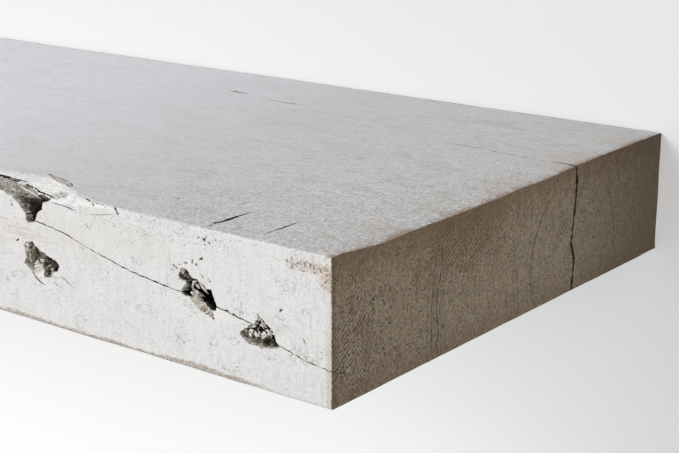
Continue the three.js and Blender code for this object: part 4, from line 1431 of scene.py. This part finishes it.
# Torn strands over the pit: each starts and ends at a place along the front, at a height, and starts as
# far back as its share of the way from the pit's end.
torn_strands = [
    (188, 171, 60.4, 0.16), (183, 168.6, 60.0, 0.13), (191, 176, 58.9, 0.10),
    (178, 166.0, 60.1, 0.10), (196, 180, 59.6, 0.14),
]
pit_end = 163
strands = []
for number, (start, reach, up, share) in enumerate(torn_strands):
    line = [
        (start, (start - pit_end) * share + 0.4, up + 0.12 * (start - reach) * 1.6),
        ((start + reach) / 2, (start - pit_end) * share * 0.5 + 1.0, up + 0.5),
        (reach, 1.2 + 0.5 * (number % 3), up - 0.35 * number),
    ]
    strands.append(splinter(line, 0.9 + 0.25 * (number % 3), 0.6, 80 + number, 0.5))
pit_crumbs = scatter("torn pit", 16, 0.6, 2.2, 78)
loose_wood("torn_strands", *strands, *pit_crumbs, paleness=(0.2, 0.45, 0.3, 0.5, 0.35))

# The wall bar.
# A flat steel bar behind the timber, with six slots for the wall screws and four countersunk holes for
# the rods' bolts. It is cut from bar stock, its edges are broken with a file, and it is powder coated.
bar_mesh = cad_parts["wall_bar"].data.copy()
bar_mesh.name = "bar"
bar = bpy.data.objects.new("bar", bar_mesh)
bpy.context.scene.collection.objects.link(bar)
shell = bmesh.new()
shell.from_mesh(bar_mesh)
bmesh.ops.remove_doubles(shell, verts=shell.verts, dist=0.002 * MM)
bmesh.ops.dissolve_limit(shell, angle_limit=math.radians(1), verts=shell.verts, edges=shell.edges)
shell.to_mesh(bar_mesh)
shell.free()
rounding = bar.modifiers.new("broken_edges", "BEVEL")
rounding.width = 0.4 * MM
rounding.segments = 2
rounding.limit_method = "ANGLE"
rounding.angle_limit = math.radians(35)
rounding.use_clamp_overlap = True


def metal_places():
    """Object coordinates in millimetres."""
    group, _, send = new_group("metal_places", {}, dict(places="vector"))
    read = group.nodes.new("ShaderNodeTexCoord")
    scaled = group.nodes.new("ShaderNodeVectorMath")
    scaled.operation = "SCALE"
    group.links.new(read.outputs["Object"], scaled.inputs[0])
    scaled.inputs["Scale"].default_value = 1 / MM
    send(places=Field(group, scaled.outputs[0]))
    return group


def handling():
    """Marks of work and handling: a mask of fine scratches, a mask of smudges and their height."""
    group, given, send = new_group(
        "handling", dict(places="vector"), dict(scratches="value", smudges="value", height="value")
    )
    places = given["places"]
    along_x = noise(group, places, (9, 0.35, 0.35), 1, 41, distortion=0.6)
    slanting = noise(group, places, (0.5, 0.5, 6), 1, 42, distortion=0.8)
    scratches = along_x.rise(0.66, 0.72).most(slanting.rise(0.68, 0.74))
    smudges = noise(group, places, 14, 3, 43)
    fine = noise(group, places, 0.7, 2, 44)
    send(scratches=scratches, smudges=smudges, height=fine - scratches * 0.5)
    return group


metal_group, handling_group = metal_places(), handling()


def finish_metal(name, dark, pale, scratched, metallic, roughness, streak, lift):
    """A metal finish: two tones mixed by streaks of the given size, with scratches, smudges and bump."""
    material = bpy.data.materials.new(name)
    tree, shader = start_finish(material)
    places = use_group(tree, metal_group)["places"]
    marks = use_group(tree, handling_group, places=places)
    streaks = noise(tree, places, streak, 2, 45)
    colour = over(dark, pale, (streaks * 0.6 + marks["smudges"] * 0.4).rise(0.38, 0.62))
    plug(tree, shader.inputs["Base Color"], over(colour, scratched, marks["scratches"] * 0.45))
    plug(tree, shader.inputs["Roughness"], marks["smudges"] * 0.25 + streaks * 0.12 + (roughness - 0.18))
    shader.inputs["Metallic"].default_value = metallic
    raise_grain(tree, shader, marks["height"] + streaks, 0.35, lift)
    return material


black_coat = finish_metal(
    "black_coat", (0.019, 0.020, 0.022), (0.030, 0.031, 0.033), (0.11, 0.11, 0.11),
    metallic=0.0, roughness=0.46, streak=0.8, lift=0.06,
)
drawn_steel = finish_metal(
    "drawn_steel", (0.42, 0.42, 0.43), (0.58, 0.58, 0.59), (0.34, 0.33, 0.32),
    metallic=1.0, roughness=0.36, streak=(0.35, 24, 0.35), lift=0.02,
)
bright_zinc = finish_metal(
    "bright_zinc", (0.55, 0.56, 0.58), (0.72, 0.72, 0.70), (0.40, 0.40, 0.40),
    metallic=1.0, roughness=0.34, streak=2.2, lift=0.03,
)
bar.data.materials.clear()
bar.data.materials.append(black_coat)
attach(bar, "bracket")
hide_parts("wall_bar")

# The rods.
# Four round bars of drawn steel that stand out of the wall bar and carry the timber. Each is turned down
# to a chamfer at its nose and bored from behind for its bolt.
round_sides, screw_sides = 64, 48
nose_chamfer, bore_radius, bore_depth = 2.5, 4.3, 21.65


def turned(middle, profile, sides=round_sides):
    """Rings about an axis along Y: each (radius, y) of a profile, carried round the axis.

    A radius may be an array with a value for every side, as on a hexagon or a thread.
    """
    angle = np.linspace(0, 2 * math.pi, sides, endpoint=False)
    rings = np.empty((len(profile), sides, 3))
    for ring, (radius, place) in zip(rings, profile):
        ring[:, 0] = middle[0] + radius * np.cos(angle)
        ring[:, 1] = place
        ring[:, 2] = middle[1] + radius * np.sin(angle)
    return rings


def metal_piece(name, node, material, rings, loop=False):
    """A turned piece that stands for its CAD node on the bracket. A washer's rings are a loop."""
    piece = closed_skin(name, rings * MM, loop=loop)
    piece.data.materials.append(material)
    piece.data.set_sharp_from_angle(angle=math.radians(28))
    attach(piece, "bracket")
    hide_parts(node)


def middle_of(node):
    """The box of a node in millimetres, and its middle on X and Z."""
    low, high = (np.array(corner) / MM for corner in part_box(node))
    return low, high, ((low + high) / 2)[[0, 2]]


for number, node in enumerate(rod_names, 1):
    low, high, middle = middle_of(node)
    radius = (high[0] - low[0]) / 2
    root, nose = high[1], low[1]
    profile = [
        (0.05, root - bore_depth),
        (bore_radius, root - bore_depth),
        (bore_radius, root - 0.4),
        (bore_radius + 0.4, root),
        (radius - 0.4, root),
        (radius, root - 0.4),
        *[(radius, root - 0.4 - step) for step in np.linspace(4, root - nose - nose_chamfer - 4, 24)],
        (radius - 0.15, nose + nose_chamfer - 0.15),
        (radius - nose_chamfer + 0.25, nose + 0.15),
        (radius - nose_chamfer, nose),
        (0.05, nose),
    ]
    metal_piece(f"steel_rod_{number}", node, drawn_steel, turned(middle, profile))

# The rod bolts.
# Countersunk socket screws that pull each rod against the wall bar from behind. Their heads lie just
# below the bar's back face, and each has a hexagonal socket for its key.
bolt_pitch, bolt_root, bolt_shank, socket_flats, socket_depth = 1.25, 0.61, 4.0, 5.0, 3.0


def hexagon(flats, sides):
    """The radius of a hexagon with the given distance between flats, for every side of a ring."""
    angle = np.linspace(0, 2 * math.pi, sides, endpoint=False)
    return flats / 2 / np.cos((angle + math.pi / 6) % (math.pi / 3) - math.pi / 6)


def thread(root_y, end_y, crest, depth, pitch, sides, point=0.0, sharpness=1.0):
    """Rings of a screw thread from the shank to the tip.

    The radius falls from the crest by the depth away from a helix, and to nothing over the point.
    """
    way = np.sign(end_y - root_y)
    stations = np.arange(0, abs(end_y - root_y), pitch / 8)
    angle = np.linspace(0, 2 * math.pi, sides, endpoint=False)
    rings = []
    for station in stations:
        phase = (station / pitch - angle / (2 * math.pi)) % 1
        ridge = np.clip(1 - np.abs(phase - 0.5) * 2 * sharpness, 0, 1)
        rise = min(1, station / pitch)
        left = abs(end_y - root_y) - station
        taper = min(1, left / point) if point else min(1, 0.6 + left / pitch * 0.4)
        radius = (crest - depth) * max(taper, 0.04) + depth * ridge * rise * min(1, taper * 2)
        rings.append((radius, root_y + way * station))
    return rings


for number in range(1, 5):
    node = f"rod_bolt_{number}"
    low, high, middle = middle_of(node)
    head, face, tip = (high[0] - low[0]) / 2, high[1], low[1]
    socket = hexagon(socket_flats, screw_sides)
    under = face - (head - bolt_shank)
    profile = [
        (0.05, face - socket_depth - 0.5),
        (socket * 0.96, face - socket_depth),
        (socket, face - socket_depth + 0.2),
        (socket, face - 0.25),
        (socket + 0.25, face),
        (head - 0.25, face),
        (head, face - 0.2),
        (head, face - 0.45),
        (bolt_shank, under - 0.45),
        *thread(under - 1.2, tip + 0.3, bolt_shank, bolt_root, bolt_pitch, screw_sides),
        (bolt_shank - 1.1, tip),
        (0.05, tip),
    ]
    metal_piece(f"socket_bolt_{number}", node, bright_zinc, turned(middle, profile, screw_sides))

# The wall screws.
# Hexagon-head lag screws, cold formed and zinc plated, that hold the bar to the wall's studs. The head
# is chamfered on top, and a coarse thread runs from the plain shank to the point.
lag_pitch, lag_depth, lag_point = 2.8, 1.0, 9.0
head_flats, head_height, shank_radius, shank_end = 12.7, 5.4, 3.95, 16.05

for number in range(1, 7):
    node = f"wall_screw_{number}"
    low, high, middle = middle_of(node)
    top, tip = low[1], high[1]
    seat_y = top + head_height
    corners = hexagon(head_flats, screw_sides)
    chamfer = (corners - head_flats / 2 * 0.97) * math.tan(math.radians(30))
    profile = [
        (0.05, top + 0.35),
        (head_flats / 2 * 0.62, top + 0.35),
        (head_flats / 2 * 0.70, top),
        (head_flats / 2 * 0.95, top),
        (corners - 0.1, top + 0.05),
        (corners, top + 0.3),
        (corners, seat_y - 0.15),
        (corners - 0.15, seat_y),
        (shank_radius + 0.4, seat_y),
        (shank_radius, seat_y + 0.4),
        (shank_radius, shank_end - 1),
        *thread(shank_end, tip, shank_radius, lag_depth, lag_pitch, screw_sides, lag_point, 2.2),
        (0.05, tip),
    ]
    stations = turned(middle, profile, screw_sides)
    stations[4, :, 1] += chamfer
    stations[5, :, 1] += chamfer
    metal_piece(f"lag_screw_{number}", node, bright_zinc, stations)

# The washers.
# Stamped flat washers under the screws' heads. The punch leaves one face rounded at its edges and the
# other with a fine burr.
washer_hole = 4.3

for number in range(1, 7):
    node = f"wall_washer_{number}"
    low, high, middle = middle_of(node)
    outer, inner = (high[0] - low[0]) / 2, washer_hole
    front, rear = low[1], high[1]
    profile = [
        (inner, rear - 0.1), (inner + 0.1, rear), (outer - 0.1, rear), (outer, rear - 0.1),
        (outer, front + 0.45), (outer - 0.15, front + 0.15), (outer - 0.5, front),
        (inner + 0.3, front), (inner + 0.05, front + 0.12), (inner, front + 0.35),
    ]
    metal_piece(f"washer_{number}", node, bright_zinc, turned(middle, profile), loop=True)

# The studio.
# A plain pale wall behind the shelf and a pale floor well below it. Both are seen only from in front,
# so that the back and the underside can be looked at too. They and the world show white to the camera.
new_piece("wall", [(-16, 0, -0.7), (16, 0, -0.7), (16, 0, 9), (-16, 0, 9)], [(0, 1, 2, 3)])
new_piece("floor", [(-16, -16, -0.7), (16, -16, -0.7), (16, 14, -0.7), (-16, 14, -0.7)], [(0, 1, 2, 3)])


def backdrop(name, shine, lower):
    """A diffuse material that also glows, so that it shows nearly white, and is clear from behind.

    Below the shelf, where the lamps reach less, the wall glows more by the lower value.
    """
    material = bpy.data.materials.new(name)
    material.use_nodes = True
    tree = material.node_tree
    tree.nodes.clear()
    surface = tree.nodes.new("ShaderNodeBsdfDiffuse")
    surface.inputs["Color"].default_value = (0.60, 0.60, 0.60, 1)
    glow = tree.nodes.new("ShaderNodeEmission")
    glow.inputs["Color"].default_value = (1, 1, 1, 1)
    read = tree.nodes.new("ShaderNodeTexCoord")
    apart = tree.nodes.new("ShaderNodeSeparateXYZ")
    tree.links.new(read.outputs["Object"], apart.inputs[0])
    along_wall, _, up_wall = (Field(tree, socket) for socket in apart.outputs)
    low_down = up_wall.rise(0.10, -0.20) * along_wall.rise(0.68, 0.22)
    plug(tree, glow.inputs["Strength"], low_down * lower + shine)
    both = tree.nodes.new("ShaderNodeAddShader")
    clear = tree.nodes.new("ShaderNodeBsdfTransparent")
    facing = tree.nodes.new("ShaderNodeNewGeometry")
    either = tree.nodes.new("ShaderNodeMixShader")
    output = tree.nodes.new("ShaderNodeOutputMaterial")
    tree.links.new(surface.outputs[0], both.inputs[0])
    tree.links.new(glow.outputs[0], both.inputs[1])
    tree.links.new(facing.outputs["Backfacing"], either.inputs[0])
    tree.links.new(both.outputs[0], either.inputs[1])
    tree.links.new(clear.outputs[0], either.inputs[2])
    tree.links.new(either.outputs[0], output.inputs["Surface"])
    return material


for name, shine, lower in (("wall", 0.25, 0.34), ("floor", 0.55, 0)):
    piece = bpy.data.objects[name]
    piece.data.materials.append(backdrop(f"{name}_paint", shine, lower))
    piece.visible_diffuse = False
    piece.visible_glossy = False
    piece.visible_shadow = False


def soft_lamp(name, place, towards, size, power, colour):
    """A square lamp of the given size in metres, turned to face a point."""
    lamp = bpy.data.objects.new(name, bpy.data.lights.new(name, "AREA"))
    bpy.context.scene.collection.objects.link(lamp)
    lamp.location = place
    lamp.rotation_euler = (Vector(towards) - Vector(place)).to_track_quat("-Z", "Y").to_euler()
    lamp.data.size = size
    lamp.data.energy = power
    lamp.data.color = colour


soft_lamp("window", (-1.0, -1.7, 1.35), (0.1, -0.1, 0), 1.4, 41, (1, 1, 1))
soft_lamp("fill", (1.1, -1.3, 0.3), (0.4, -0.1, 0), 0.8, 3, (1, 0.97, 0.93))
world = bpy.data.worlds.new("world")
bpy.context.scene.world = world
world.use_nodes = True
background = world.node_tree.nodes["Background"]
background.inputs["Color"].default_value = (1, 1, 1, 1)
rays = world.node_tree.nodes.new("ShaderNodeLightPath")
seen = Field(world.node_tree, rays.outputs["Is Camera Ray"])
seen = seen.math("MAXIMUM", Field(world.node_tree, rays.outputs["Is Glossy Ray"]))
strength = between(0.42, 1.0, seen)
plug(world.node_tree, background.inputs["Strength"], strength)
bpy.context.scene.view_settings.view_transform = "Standard"
